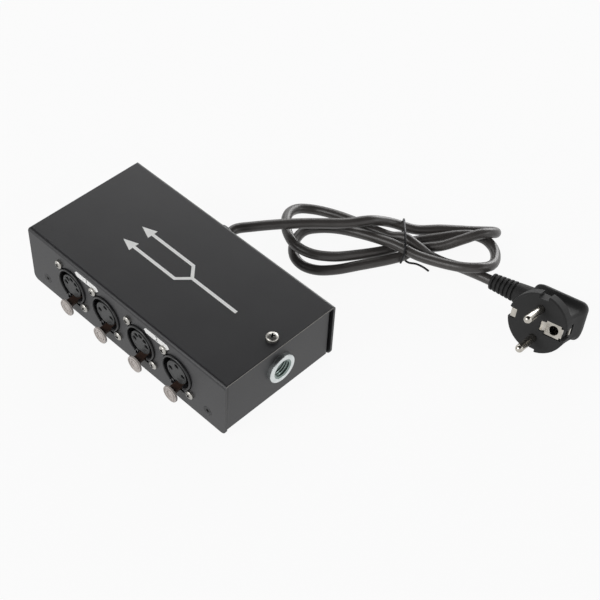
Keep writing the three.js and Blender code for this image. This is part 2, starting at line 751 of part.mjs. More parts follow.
function electronics() {
  const boardMiddle = point(boardX, 0, boardHeight + boardThick / 2);
  const board = box(boardLength, boardDepth, boardThick, boardMiddle);
  const edge = moduleSize.chamfer;
  const moduleOutline = new THREE.Shape([
    new THREE.Vector2(-moduleSize.depth / 2, 0),
    new THREE.Vector2(moduleSize.depth / 2, 0),
    new THREE.Vector2(moduleSize.depth / 2, moduleSize.height - edge),
    new THREE.Vector2(moduleSize.depth / 2 - edge, moduleSize.height),
    new THREE.Vector2(edge - moduleSize.depth / 2, moduleSize.height),
    new THREE.Vector2(-moduleSize.depth / 2, moduleSize.height - edge),
  ]);
  const moduleEnd = point(moduleX - moduleSize.length / 2, 0, boardTop);
  const powerModule = prism(moduleOutline, moduleSize.length, Y, Z, moduleEnd);
  const capacitor = turned([
    [0, 0],
    [capacitorRadius, 0],
    [capacitorRadius, capacitorHeight - capacitorEdge],
    [capacitorRadius - capacitorEdge, capacitorHeight],
    [0, capacitorHeight],
  ], 16, Z, point(capacitorX, capacitorY, boardTop));
  const groovePlace = point(fuseX, fuseY, boardTop + fuseSize.height + (overrun - fuseGrooveDepth) / 2);
  const groove = box(fuseSize.length + 2 * overrun, fuseGrooveWidth, fuseGrooveDepth + overrun, groovePlace);
  const slotY = terminalY + terminalSize.depth / 2 + (overrun - terminalWireDepth) / 2;
  const wireSlots = [-1, 0, 1].map((i) => {
    const place = point(terminalX + (i * terminalSize.length) / 3, slotY, boardTop + terminalSize.height / 2);
    return box(terminalWireWidth, terminalWireDepth + overrun, terminalWireWidth, place);
  });
  const terminalBlock = onBoard(terminalSize, terminalX, terminalY);
  const terminal = wireSlots.reduce((block, slot) => block.subtract(slot), terminalBlock);
  return [
    mesh("circuit_board", boardGreen, board),
    mesh("power_module", modulePlastic, powerModule),
    mesh("capacitor", capacitorSleeve, capacitor),
    mesh("fuse_holder", modulePlastic, onBoard(fuseSize, fuseX, fuseY).subtract(groove)),
    mesh("terminal_block", terminalPlastic, terminal),
    mesh("signal_isolator", modulePlastic, onBoard(isolatorSize, isolatorX, isolatorY)),
  ];
}

// Cord

// Places in the hank: `along` it from its waist, `across` it away from the box, and height
function hankPlace(along, across, height) {
  const c = Math.cos(hankTurn);
  const s = Math.sin(hankTurn);
  const lifted = Math.max(height, cordRadius + cordLift);
  return point(hankX + along * c - across * s, hankY + along * s + across * c, lifted);
}

// The lead from the gland to the hank, point by point
const leadRoute = [
  [-13.5, 57, 20.5],
  [-8.4, 65.4, 20.4],
  [0.8, 80, 19.2],
  [9.6, 92, 18.2],
  [17.6, 101.7, 17.4],
  [25.8, 111.8, 16.6],
  [34.2, 123.6, 16.9],
];

// Each loop leaves the waist and comes back to it: which end of the hank, and as shares of the hank's reach
// how far, how much each of its two runs swells, how far its tip sways, and where it leaves and returns.
// Its heights at five even turns are shares of the cord's diameter.
const loopShares = [
  {
    end: 1, reach: 0.8, out: 0.034, back: -0.05, sway: 0.079, from: 0.286, to: 0.057,
    heights: [0.87, 0.53, 1.53, 2.8, 0.78],
  },
  {
    end: -1, reach: 0.943, out: -0.194, back: 0.247, sway: 0.024, from: -0.083, to: 0.011,
    heights: [0.7, 0.53, 0.53, 0.53, 1.88],
  },
  {
    end: 1, reach: 0.786, out: -0.207, back: 0.109, sway: 0, from: -0.118, to: 0.162,
    heights: [1.84, 2.6, 1.2, 1.16, 0.7],
  },
  {
    end: -1, reach: 1.02, out: -0.325, back: 0.271, sway: 0.157, from: 0.04, to: 0.123,
    heights: [0.7, 1.76, 1.52, 0.53, 1.56],
  },
];
const loopRoundness = 0.85;
// Where the cord crosses the waist after each loop: across as a share of the reach, height of the diameter
const waistShares = [[-0.037, 0.8], [-0.057, 1.95], [0.106, 0.8], [0.069, 2.1]];

// From the waist to the plug's boot, as places in the hank
const tailRoute = [
  [8, -0.2, 11.2],
  [15, -2.8, 7],
  [24, -4.6, 3.6],
  [33, -7.6, 3.5],
];

// A smooth curve through evenly spaced values, at `share` of the way along them.
function through(values, share) {
  const spans = values.length - 1;
  const first = Math.min(Math.floor(share * spans), spans - 1);
  const f = share * spans - first;
  const value = (i) => values[THREE.MathUtils.clamp(i, 0, spans)];
  const slope = (i) => (value(i + 1) - value(i - 1)) / 2;
  const rise = f * f * (3 - 2 * f);
  const ease = f * f * (f - 1);
  const bend = slope(first) * (ease - f * (f - 1)) + slope(first + 1) * ease;
  return value(first) * (1 - rise) + value(first + 1) * rise + bend;
}

function loopPlace(loop, share) {
  const turn = share * Math.PI;
  const swell = share < 0.5 ? loop.out : -loop.back;
  const along = waistHalf + (loop.reach * hankReach - waistHalf) * Math.abs(Math.sin(turn)) ** loopRoundness;
  const drift = loop.from + ((loop.to - loop.from) * (1 - Math.cos(turn))) / 2;
  const across = hankReach * (drift + loop.sway * Math.sin(turn) + swell * Math.sin(2 * turn));
  return hankPlace(loop.end * along, across, 2 * cordRadius * through(loop.heights, share));
}

function plugFrame() {
  const frame = new THREE.Object3D();
  frame.position.set(plugX, plugY, plugZ);
  frame.rotation.set(plugRoll, plugPitch, plugYaw, "ZYX");
  frame.updateMatrixWorld(true);
  return frame;
}

function cordCurve() {
  const glandTip = backFace + glandHexThick + glandCapLength + cordMeet;
  const places = [point(glandX, glandTip, glandHeight)];
  for (const [x, y, z] of leadRoute) places.push(point(x, y, z));
  const leadEnd = places.length - 1;
  places.push(hankPlace(-waistHalf, entryAcross, entryHeight));
  loopShares.forEach((loop, i) => {
    const count = hankStepsPerLoop / 2;
    for (let k = 0; k <= count; k++) places.push(loopPlace(loop, k / count));
    const [across, height] = waistShares[i];
    places.push(hankPlace(0, across * hankReach, 2 * height * cordRadius));
  });
  for (const place of tailRoute) places.push(hankPlace(...place));
  const plug = plugFrame();
  for (const away of [bootStraight, bootStraight / 2, cordMeet]) {
    places.push(plug.localToWorld(point(-bootReach - away, 0, -plugAxisDepth)));
  }
  const curve = new THREE.CatmullRomCurve3(places, false, "centripetal");
  curve.arcLengthDivisions = 40 * places.length;
  return { curve, leadEnd: leadEnd / (places.length - 1) };
}

// The stretch of a curve between two shares of its length
class Stretch extends THREE.Curve {
  constructor(whole, from, to) {
    super();
    Object.assign(this, { whole, from, to });
  }

  getPoint(share, target = new THREE.Vector3()) {
    return this.whole.getPointAt(THREE.MathUtils.lerp(this.from, this.to, share), target);
  }
}

function tube(path, radius, sides, steps) {
  const section = new THREE.Shape();
  for (let i = 0; i < sides; i++) {
    const angle = (2 * Math.PI * (i + 0.5)) / sides;
    const corner = [radius * Math.cos(angle), radius * Math.sin(angle)];
    if (i) section.lineTo(...corner);
    else section.moveTo(...corner);
  }
  return solid(new THREE.ExtrudeGeometry(section, { steps, extrudePath: path, bevelEnabled: false }));
}

// The least gap between two stretches of one cord that lie more than `apart` from each other along it
function leastGap(curve, radius, apart) {
  const length = curve.getLength();
  const count = Math.round(length / radius);
  const places = curve.getSpacedPoints(count);
  const skip = Math.ceil((apart * count) / length);
  let least = Infinity;
  for (let i = 0; i < places.length; i++) {
    for (let k = i + skip; k < places.length; k++) least = Math.min(least, places[i].distanceTo(places[k]));
  }
  return least - 2 * radius;
}

function shareAtLength(curve, parameter) {
  const lengths = curve.getLengths();
  return lengths[Math.round(parameter * (lengths.length - 1))] / lengths[lengths.length - 1];
}

function cord() {
  const { curve, leadEnd } = cordCurve();
  const split = shareAtLength(curve, leadEnd);
  const gap = cordMeet / curve.getLength();
  const hankSteps = hankStepsPerLoop * loopShares.length;
  const lead = new Stretch(curve, 0, split);
  const hank = new Stretch(curve, split + gap, 1);
  const least = leastGap(curve, cordRadius, 5 * cordRadius);
  console.log(`cord ${curve.getLength().toFixed(0)} mm, least gap to itself ${least.toFixed(2)} mm`);
  return [
    mesh("cord_lead", cordRubber, tube(lead, cordRadius, leadSides, leadSteps)),
    mesh("cord_hank", cordRubber, tube(hank, cordRadius, hankSides, hankSteps)),
  ];
}

// The wire tie goes once round the waist, and its tail lies on the floor in front.
const tieRoute = [
  [15.5, -10.1, 0.9],
  [12.2, -7.1, 0.9],
  [8, -4.8, 0.9],
  [3.4, -4, 0.9],
  [0.6, -0.6, 0.9],
  [0, 7.4, 0.95],
  [0, 14, 2.1],
  [0, 21, 3.2],
  [0, 24.4, 7.2],
  [0, 22, 11.6],
  [0, 13, 14.7],
  [0, 6, 17.4],
  [0, 0.4, 17.5],
  [0, -5.6, 16.5],
  [-0.2, -8.9, 12.4],
  [-0.8, -8.6, 8],
  [-1.6, -8.2, 4.4],
];

function tie() {
  const c = Math.cos(hankTurn);
  const s = Math.sin(hankTurn);
  const places = tieRoute.map(([along, across, z]) => {
    return point(hankX + along * c - across * s, hankY + along * s + across * c, z);
  });
  const path = new THREE.CatmullRomCurve3(places, false, "centripetal");
  return mesh("cord_tie", blackScrew, tube(path, tieRadius, tieSides, tieSteps));
}

// Plug: built with its face at z = 0, its pins along +z and its cord leaving along -x

// Sections of the body behind the face, from its waist over the finger ridge to its back. Depth is a share
// of the plug's depth, middle and length of half the body's length, rise of the way from waist to ridge.
const plugSectionShares = [
  { depth: 0.14, middle: 0.07, length: 0.88, rise: 0.25, corner: 0.45 },
  { depth: 0.36, middle: 0.1, length: 0.91, rise: 0, corner: 0.45 },
  { depth: 0.5, middle: 0.125, length: 0.95, rise: 0.1, corner: 0.6 },
  { depth: 0.56, middle: 0.13, length: 0.97, rise: 0.5, corner: 0.8 },
  { depth: 0.6, middle: 0.135, length: 0.98, rise: 1, corner: 1 },
  { depth: 0.66, middle: 0.135, length: 0.98, rise: 0.85, corner: 1 },
  { depth: 0.75, middle: 0.135, length: 0.95, rise: 0.45, corner: 1 },
  { depth: 0.86, middle: 0.12, length: 0.89, rise: -0.2, corner: 1 },
  { depth: 0.96, middle: 0.1, length: 0.76, rise: -0.85, corner: 1 },
  { depth: 1, middle: 0.09, length: 0.62, rise: -1.5, corner: 0.8 },
];

// A groove of the boot, as a share of the ribs' pitch
const bootGrooveShare = 0.42;

function loft(sections) {
  const count = sections[0].length;
  const positions = sections.flat().flatMap((p) => [p.x, p.y, p.z]);
  const index = [];
  for (let s = 0; s + 1 < sections.length; s++) {
    for (let i = 0; i < count; i++) {
      const a = s * count + i;
      const b = s * count + ((i + 1) % count);
      index.push(a, a + count, b, b, a + count, b + count);
    }
  }
  const last = (sections.length - 1) * count;
  for (let i = 1; i + 1 < count; i++) {
    index.push(0, i, i + 1);
    index.push(last, last + i + 1, last + i);
  }
  const geometry = new THREE.BufferGeometry();
  geometry.setAttribute("position", new THREE.Float32BufferAttribute(positions, 3));
  geometry.setIndex(index);
  return solid(geometry);
}

function plugBody() {
  const sections = plugSectionShares.map(({ depth, middle, length, rise, corner }) => {
    const halfHeight = THREE.MathUtils.lerp(plugWaistHalfHeight, plugRidgeHalfHeight, rise);
    const corners = Array(4).fill(corner * plugBodyCorner);
    const outline = roundedRectangle(2 * length * plugBodyHalfLength, 2 * halfHeight, corners).getPoints(4);
    return outline.slice(0, -1).map((p) => point(p.x + middle * plugBodyHalfLength, p.y, -depth * plugDepth));
  });
  const face = turned([
    [0, 0],
    [plugFaceRadius - plugFaceEdge, 0],
    [plugFaceRadius, -plugFaceEdge],
    [plugFaceRadius, -plugFaceThick],
    [plugWaistHalfHeight, -plugFaceThick - plugFaceStep],
    [0, -plugFaceThick - plugFaceStep],
  ], plugSides, Z);
  let body = face.add(loft(sections)).add(boot());
  for (const side of [-1, 1]) {
    const clipX = side * (clipNotchFloor + (clipNotchDepth + overrun) / 2);
    const clipPlace = point(clipX, 0, (overrun - clipNotchLength) / 2);
    const clipCut = box(clipNotchDepth + overrun, clipNotchWidth, clipNotchLength + overrun, clipPlace);
    const guideY = side * (plugFaceRadius + (overrun - guideDepth) / 2);
    const guidePlace = point(0, guideY, (overrun - guideLength) / 2);
    const guideCut = box(guideWidth, guideDepth + overrun, guideLength + overrun, guidePlace);
    const pinPlace = point(0, (side * pinSpread) / 2, -plugPinSeat);
    const pinHole = rod(plugPinRadius + fit, plugPinSeat + overrun, 14, Z, pinPlace);
    body = body.subtract(clipCut).subtract(guideCut).subtract(pinHole);
  }
  const earthHole = rod(earthHoleRadius + fit, earthHoleDepth, 16, minus(Z), point(earthOffset, 0, 0));
  body = body.subtract(facePocket(earthPlateStart, clipNotchFloor, earthPlateWidth));
  body = body.subtract(facePocket(earthPlateStart - earthTabLength, earthPlateStart, earthTabWidth));
  body = body.subtract(facePocket(-clipNotchFloor, clipFold - clipNotchFloor, clipWidth));
  return mesh("plug_body", plugRubber, body.subtract(earthHole));
}

// A shallow pocket in the face round a metal strip that runs from one x to another
function facePocket(from, to, width) {
  const depth = earthPlateThick + earthRecess;
  const size = [to - from + 2 * fit, width + 2 * fit, depth + overrun];
  return box(...size, point((from + to) / 2, 0, (overrun - depth) / 2));
}

// A metal strip in the face, from one x to another
function faceStrip(from, to, width) {
  const middle = point((from + to) / 2, 0, -earthRecess - earthPlateThick / 2);
  return box(to - from, width, earthPlateThick, middle);
}

// The boot: smooth at the body, ribbed towards the cord.
function boot() {
  const radiusAt = (reach) => {
    return THREE.MathUtils.mapLinear(reach, bootRootReach, bootReach, bootRootRadius, bootTipRadius);
  };
  const profile = [[0, 0], [bootRootRadius, 0], [bootRootRadius, bootRootReach]];
  const ribStart = bootReach - bootRibs * bootRibPitch;
  for (let i = 0; i < bootRibs; i++) {
    const from = ribStart + i * bootRibPitch;
    const valley = from + bootGrooveShare * bootRibPitch;
    profile.push([radiusAt(from), from], [radiusAt(from) - bootRibCut, from + fit]);
    profile.push([radiusAt(valley) - bootRibCut, valley], [radiusAt(valley), valley + fit]);
  }
  profile.push([bootTipRadius, bootReach], [0, bootReach]);
  return turned(profile, bootSides, minus(X), point(0, 0, -plugAxisDepth));
}

// A pin's rounded tip: across and down from its end, as shares of its radius
const pinTipShares = [[0, 0], [0.55, 0.12], [0.9, 0.5], [1, 1]];

function plugMetal() {
  const tip = pinTipShares.map(([across, down]) => {
    return [across * plugPinRadius, plugPinLength - down * plugPinRadius];
  });
  const profile = [...tip, [plugPinRadius, -plugPinSeat], [0, -plugPinSeat]];
  const pin = (side) => turned(profile, 14, Z, point(0, (side * pinSpread) / 2, 0));
  const sleeveTop = point(earthOffset, 0, -earthRecess);
  const sleeve = rod(earthHoleRadius, earthHoleDepth - fit - earthRecess, 16, minus(Z), sleeveTop);
  const bore = rod(earthHoleRadius - earthSleeveWall, earthHoleDepth, 16, minus(Z), point(earthOffset, 0, 0));
  const tab = faceStrip(earthPlateStart - earthTabLength, earthPlateStart + earthPlateThick, earthTabWidth);
  const blank = faceStrip(earthPlateStart, clipNotchFloor, earthPlateWidth).add(tab);
  const plate = blank.add(sleeve).subtract(bore);
  const clipInside = clipNotchFloor + fit;
  const clip = (side) => {
    const x = side * (clipInside + clipThick / 2);
    return box(clipThick, clipWidth, clipLength, point(x, 0, -earthRecess - clipLength / 2));
  };
  const fold = faceStrip(-clipInside - clipThick, clipFold - clipNotchFloor, clipWidth);
  return [
    mesh("plug_pin_upper", nickel, pin(1)),
    mesh("plug_pin_lower", nickel, pin(-1)),
    mesh("earth_contact", nickel, plate),
    mesh("earth_clip_near", nickel, clip(-1).add(fold)),
    mesh("earth_clip_far", nickel, clip(1)),
  ];
}

function plug() {
  const frame = plugFrame();
  const group = new THREE.Group();
  group.position.copy(frame.position);
  group.rotation.copy(frame.rotation);
  group.add(plugBody(), ...plugMetal());
  return group;
}

const splitter = new THREE.Group();
splitter.add(topCover(), baseChassis(), ...coverScrews());
splitter.add(...outlets(), ...inlets(), ...suspension(), ...gland(), ...electronics());
splitter.add(...cord(), tie(), plug());

export default splitter;
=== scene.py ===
"""A splitter for stage lighting control signals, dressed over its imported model.

Sizes in the classes are millimetres. A finished piece is brought to metres when it is settled on its body.
"""

import json
import logging
import math
from collections.abc import Callable, Sequence
from dataclasses import dataclass, field
from enum import Enum

import bpy
from mathutils import Matrix, Vector

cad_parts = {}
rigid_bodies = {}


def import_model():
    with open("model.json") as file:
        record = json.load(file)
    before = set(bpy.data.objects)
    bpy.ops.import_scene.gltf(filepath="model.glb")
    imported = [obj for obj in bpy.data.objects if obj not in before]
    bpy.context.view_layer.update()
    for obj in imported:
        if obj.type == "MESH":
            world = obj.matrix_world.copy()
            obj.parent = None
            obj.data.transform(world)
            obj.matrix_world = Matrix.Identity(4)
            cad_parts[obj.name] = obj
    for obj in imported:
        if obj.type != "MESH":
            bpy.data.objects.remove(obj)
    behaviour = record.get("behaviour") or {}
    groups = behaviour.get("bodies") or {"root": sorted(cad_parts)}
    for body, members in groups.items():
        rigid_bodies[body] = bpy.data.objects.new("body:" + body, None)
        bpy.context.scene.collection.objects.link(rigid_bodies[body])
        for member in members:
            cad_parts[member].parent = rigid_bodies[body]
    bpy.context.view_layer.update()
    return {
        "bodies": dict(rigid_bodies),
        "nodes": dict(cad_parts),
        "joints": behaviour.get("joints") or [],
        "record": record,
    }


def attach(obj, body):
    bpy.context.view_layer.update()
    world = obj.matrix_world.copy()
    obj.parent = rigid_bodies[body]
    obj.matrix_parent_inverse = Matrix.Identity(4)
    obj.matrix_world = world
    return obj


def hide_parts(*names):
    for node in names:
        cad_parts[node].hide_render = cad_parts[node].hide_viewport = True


MM = 0.001
# Edges flatter than this are shaded smooth.
SMOOTH_BELOW = math.radians(32)
LOG = logging.getLogger("splitter")
Profile = Sequence[tuple[float, float]]


# Tools of the workshop


def rest() -> None:
    """Leave edit mode and deselect everything."""
    active = bpy.context.view_layer.objects.active
    if active is not None and active.mode != "OBJECT":
        bpy.ops.object.mode_set(mode="OBJECT")
    bpy.ops.object.select_all(action="DESELECT")


def pick(*objects: bpy.types.Object) -> None:
    """Select these objects alone, the first of them active.

    Args:
        objects: what the next operator acts on.
    """
    rest()
    for chosen in objects:
        chosen.select_set(True)
    bpy.context.view_layer.objects.active = objects[0]


def axes(across: Vector, up: Vector, origin: Vector) -> Matrix:
    """Return the matrix that puts x along `across`, y along `up` and z along their cross product.

    Args:
        across: unit vector for x.
        up: unit vector for y, square to `across`.
        origin: where the local origin goes.

    Returns:
        A 4 by 4 matrix in the units of `origin`.
    """
    turn = Matrix((across, up, across.cross(up))).transposed()
    return Matrix.Translation(origin) @ turn.to_4x4()


BACK = Vector((0, 1, 0))
UP = Vector((0, 0, 1))
HERE = Matrix.Identity(4)
INWARD = Matrix.Rotation(math.radians(-90), 4, "X")
STOOD_UP = Matrix.Rotation(math.radians(90), 4, "X")
TO_THE_RIGHT = Matrix.Rotation(math.radians(90), 4, "Y")


def rounded_rectangle(length: float, height: float, radius: float, steps: int = 6) -> list[tuple[float, float]]:
    """Return a rounded rectangle about the origin, counter-clockwise.

    Args:
        length: its size along x.
        height: its size along y.
        radius: of its corners.
        steps: sides of each corner.

    Returns:
        Its points, without the first one repeated.
    """
    outline = []
    for corner in range(4):
        x = (length / 2 - radius) * (1 if corner in (0, 3) else -1)
        y = (height / 2 - radius) * (1 if corner in (0, 1) else -1)
        for k in range(steps + 1):
            angle = (corner + k / steps) * math.pi / 2
            outline.append((x + radius * math.cos(angle), y + radius * math.sin(angle)))
    return outline


def arc(x: float, y: float, radius: float, start: float, end: float, steps: int) -> list[tuple[float, float]]:
    """Return points of an arc from `start` to `end`, in degrees, about (x, y).

    Args:
        x: of the centre.
        y: of the centre.
        radius: of the arc.
        start: first angle in degrees.
        end: last angle in degrees.
        steps: sides of the arc.

    Returns:
        Its points, both ends among them.
    """
    angles = [math.radians(start + (end - start) * k / steps) for k in range(steps + 1)]
    return [(x + radius * math.cos(a), y + radius * math.sin(a)) for a in angles]


class Piece:
    """One mesh piece on the bench, in millimetres until it is settled."""

    def __init__(self, made: bpy.types.Object) -> None:
        """Take an object as the piece.

        Args:
            made: a mesh object.
        """
        self.obj = made

    @staticmethod
    def _start(name: str, first: tuple[float, float, float]) -> "Piece":
        """Begin a drawing as a plane merged to one vertex, in edit mode.

        Args:
            name: of the piece.
            first: where the vertex goes.

        Returns:
            The piece, left in edit mode.
        """
        rest()
        bpy.ops.mesh.primitive_plane_add(size=1)
        made = bpy.context.active_object
        made.name = made.data.name = name
        bpy.ops.object.mode_set(mode="EDIT")
        bpy.ops.mesh.select_mode(type="VERT")
        bpy.ops.mesh.select_all(action="SELECT")
        bpy.ops.mesh.merge(type="CENTER")
        bpy.ops.transform.translate(value=first)
        return Piece(made)

    @staticmethod
    def _pull(steps: Sequence[tuple[float, float, float]]) -> None:
        """Extrude the last vertex from point to point.

        Args:
            steps: the points, the one where the vertex is first.
        """
        for here, there in zip(steps, steps[1:]):
            move = tuple(b - a for a, b in zip(here, there))
            bpy.ops.mesh.extrude_vertices_move(TRANSFORM_OT_translate={"value": move})

    @classmethod
    def turned(cls, name: str, profile: Profile, sides: int, frame: Matrix = HERE) -> "Piece":
        """Turn a profile about z, as on a lathe.

        Args:
            name: of the piece.
            profile: (radius, height) pairs. It starts and ends on the axis, or is closed off from end to start.
            sides: round the axis.
            frame: where the piece's own axes go.

        Returns:
            The closed piece.
        """
        points = [(r, 0.0, z) for r, z in profile]
        if profile[0][0] > 1e-6:
            points.append(points[0])
        piece = cls._start(name, points[0])
        cls._pull(points)
        bpy.ops.mesh.select_all(action="SELECT")
        bpy.ops.mesh.spin(steps=sides, angle=math.tau, center=(0, 0, 0), axis=(0, 0, 1))
        return piece.closed(frame)

    @classmethod
    def drawn(cls, name: str, outline: Profile, depth: float, frame: Matrix = HERE) -> "Piece":
        """Draw an outline in x and y, fill it and pull it along z.

        Args:
            name: of the piece.
            outline: its corners in order.
            depth: how far it is pulled along z.
            frame: where the piece's own axes go.

        Returns:
            The closed piece.
        """
        points = [(x, y, 0.0) for x, y in outline]
        piece = cls._start(name, points[0])
        cls._pull(points)
        bpy.ops.mesh.select_all(action="SELECT")
        bpy.ops.mesh.edge_face_add()
        bpy.ops.mesh.extrude_region_move(TRANSFORM_OT_translate={"value": (0, 0, depth)})
        return piece.closed(frame)

    @classmethod
    def block(cls, name: str, low: Sequence[float], high: Sequence[float], frame: Matrix = HERE) -> "Piece":
        """Start from a block between two corners.

        Args:
            name: of the piece.
            low: its lowest corner.
            high: its highest corner.
            frame: where the piece's own axes go.

        Returns:
            The closed piece.
        """
        rest()
        bpy.ops.mesh.primitive_cube_add(size=1)
        made = bpy.context.active_object
        made.name = made.data.name = name
        made.scale = [b - a for a, b in zip(low, high)]
        made.location = [(a + b) / 2 for a, b in zip(low, high)]
        bpy.ops.object.transform_apply(location=True, rotation=True, scale=True)
        return cls(made).stand(frame)

    @classmethod
    def rod(cls, name: str, radius: float, start: float, end: float, sides: int, frame: Matrix = HERE) -> "Piece":
        """Start from a rod along z, from `start` to `end`.

        Args:
            name: of the piece.
            radius: of the rod.
            start: its lower end.
            end: its upper end.
            sides: round it.
            frame: where the piece's own axes go.

        Returns:
            The closed piece.
        """
        return cls.turned(name, [(0, start), (radius, start), (radius, end), (0, end)], sides, frame)

    @classmethod
    def refined(cls, name: str, node: str) -> "Piece":
        """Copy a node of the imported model, in millimetres, as one closed shell with flat faces joined.

        Args:
            name: of the copy.
            node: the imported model's node.

        Returns:
            The copy.
        """
        rest()
        source = bpy.data.objects[node]
        source.hide_viewport = False
        mesh = source.data.copy()
        made = bpy.data.objects.new(name, mesh)
        mesh.name = name
        bpy.context.scene.collection.objects.link(made)
        piece = cls(made).stand(Matrix.Scale(1 / MM, 4))
        bpy.ops.object.mode_set(mode="EDIT")
        bpy.ops.mesh.select_all(action="SELECT")
        bpy.ops.mesh.remove_doubles(threshold=0.002)
        bpy.ops.mesh.dissolve_limited(angle_limit=math.radians(0.6))
        bpy.ops.mesh.normals_make_consistent(inside=False)
        bpy.ops.object.mode_set(mode="OBJECT")
        return piece

    @classmethod
    def lofted(cls, name: str, rings: Sequence[Sequence[tuple[float, float, float]]]) -> "Piece":
        """Bridge rings of points to one closed skin.

        Args:
            name: of the piece.
            rings: sections of equal count, from one end to the other.

        Returns:
            The closed piece.
        """
        drawn = []
        for ring in rings:
            piece = cls._start("ring", ring[0])
            cls._pull([*ring, ring[0]])
            bpy.ops.mesh.select_all(action="SELECT")
            bpy.ops.mesh.remove_doubles(threshold=0.0005)
            rest()
            drawn.append(piece.obj)
        pick(*drawn)
        bpy.ops.object.join()
        made = bpy.context.active_object
        made.name = made.data.name = name
        bpy.ops.object.mode_set(mode="EDIT")
        bpy.ops.mesh.select_all(action="SELECT")
        bpy.ops.mesh.bridge_edge_loops()
        bpy.ops.mesh.select_all(action="SELECT")
        bpy.ops.mesh.fill_holes(sides=0)
        return cls(made).closed()

    def merged(self) -> "Piece":
        """Merge the piece's doubles and turn its faces outwards.

        Returns:
            The piece itself.
        """
        pick(self.obj)
        bpy.ops.object.mode_set(mode="EDIT")
        return self.closed()

    def ringed(self, count: int) -> "Piece":
        """Join copies of the piece, evenly round z, to it.

        Args:
            count: how many there are in all.

        Returns:
            The piece itself.
        """
        ring = [self.copied("ring", Matrix.Rotation(math.tau * k / count, 4, "Z")).obj for k in range(1, count)]
        pick(self.obj, *ring)
        bpy.ops.object.join()
        return self

    def closed(self, frame: Matrix = HERE) -> "Piece":
        """Merge doubles, turn the faces outwards, leave edit mode and put the piece in its place.

        Args:
            frame: where the piece's own axes go.

        Returns:
            The piece itself.
        """
        bpy.ops.mesh.select_all(action="SELECT")
        bpy.ops.mesh.remove_doubles(threshold=0.0005)
        bpy.ops.mesh.normals_make_consistent(inside=False)
        bpy.ops.object.mode_set(mode="OBJECT")
        return self.stand(frame)

    def stand(self, frame: Matrix) -> "Piece":
        """Put the piece in its place and apply it to the mesh.

        Args:
            frame: where the piece's own axes go.

        Returns:
            The piece itself.
        """
        pick(self.obj)
        self.obj.matrix_world = frame @ self.obj.matrix_world
        bpy.ops.object.transform_apply(location=True, rotation=True, scale=True)
        if frame.determinant() < 0:
            bpy.ops.object.mode_set(mode="EDIT")
            bpy.ops.mesh.select_all(action="SELECT")
            bpy.ops.mesh.normals_make_consistent(inside=False)
            bpy.ops.object.mode_set(mode="OBJECT")
        return self

    def copied(self, name: str, frame: Matrix = HERE) -> "Piece":
        """Copy the piece with a mesh of its own.

        Args:
            name: of the copy.
            frame: where the copy goes.

        Returns:
            The copy.
        """
        pick(self.obj)
        bpy.ops.object.duplicate(linked=False)
        made = bpy.context.active_object
        made.name = made.data.name = name
        return Piece(made).stand(frame)

    def _combine(self, operation: str, others: Sequence["Piece"]) -> "Piece":
        """Apply a Boolean with other pieces, which are used up.

        Args:
            operation: DIFFERENCE, INTERSECT or UNION.
            others: the pieces to take off, to keep within or to weld on.

        Returns:
            The piece itself.
        """
        for other in others:
            pick(self.obj)
            boolean = self.obj.modifiers.new("work", "BOOLEAN")
            boolean.operation = operation
            boolean.solver = "EXACT"
            boolean.material_mode = "TRANSFER"
            boolean.object = other.obj
            bpy.ops.object.modifier_apply(modifier=boolean.name)
            other.scrap()
        return self

    def cut(self, *tools: "Piece") -> "Piece":
        """Take the tools' shapes off the piece."""
        return self._combine("DIFFERENCE", tools)

    def stained(self, finish: "Finish") -> "Piece":
        """Give the piece a finish of its own, which the faces that it cuts keep.

        Args:
            finish: the finish.

        Returns:
            The piece itself.
        """
        self.obj.data.materials.append(finish.material())
        return self

    def rubbed(self, finish: "Finish", chosen: Callable[[bpy.types.MeshPolygon], bool]) -> "Piece":
        """Give another finish to some of the faces.

        Args:
            finish: the other finish.
            chosen: tells whether a face gets it.

        Returns:
            The piece itself.
        """
        self.stained(finish)
        for face in self.obj.data.polygons:
            if chosen(face):
                face.material_index = len(self.obj.data.materials) - 1
        return self

    def kept_within(self, *others: "Piece") -> "Piece":
        """Keep only what lies within other pieces."""
        return self._combine("INTERSECT", others)

    def weld(self, *others: "Piece") -> "Piece":
        """Weld other pieces to this one."""
        return self._combine("UNION", others)

    def scrap(self) -> None:
        """Remove the piece from the bench."""
        mesh = self.obj.data
        bpy.data.objects.remove(self.obj)
        bpy.data.meshes.remove(mesh)

    def bevelled(self, width: float, segments: int = 2, angle: float = 35.0) -> "Piece":
        """Round the piece's sharp edges.

        Args:
            width: of the rounding.
            segments: its sides.
            angle: edges sharper than this many degrees are rounded.

        Returns:
            The piece itself.
        """
        pick(self.obj)
        bevel = self.obj.modifiers.new("round", "BEVEL")
        bevel.width = width
        bevel.segments = segments
        bevel.limit_method = "ANGLE"
        bevel.angle_limit = math.radians(angle)
        bevel.miter_outer = "MITER_ARC"
        bpy.ops.object.modifier_apply(modifier=bevel.name)
        return self

    def settle(self, finish: "Finish", body: str, replaces: Sequence[str] = ()) -> bpy.types.Object:
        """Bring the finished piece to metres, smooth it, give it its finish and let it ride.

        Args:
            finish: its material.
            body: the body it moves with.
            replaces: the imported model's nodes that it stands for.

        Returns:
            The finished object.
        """
        self.stand(Matrix.Scale(MM, 4))
        bpy.ops.object.shade_smooth_by_angle(angle=SMOOTH_BELOW)
        even = self.obj.modifiers.new("even", "WEIGHTED_NORMAL")
        even.keep_sharp = True
        bpy.ops.object.modifier_apply(modifier=even.name)
        return finished(self.obj, finish, body, replaces)


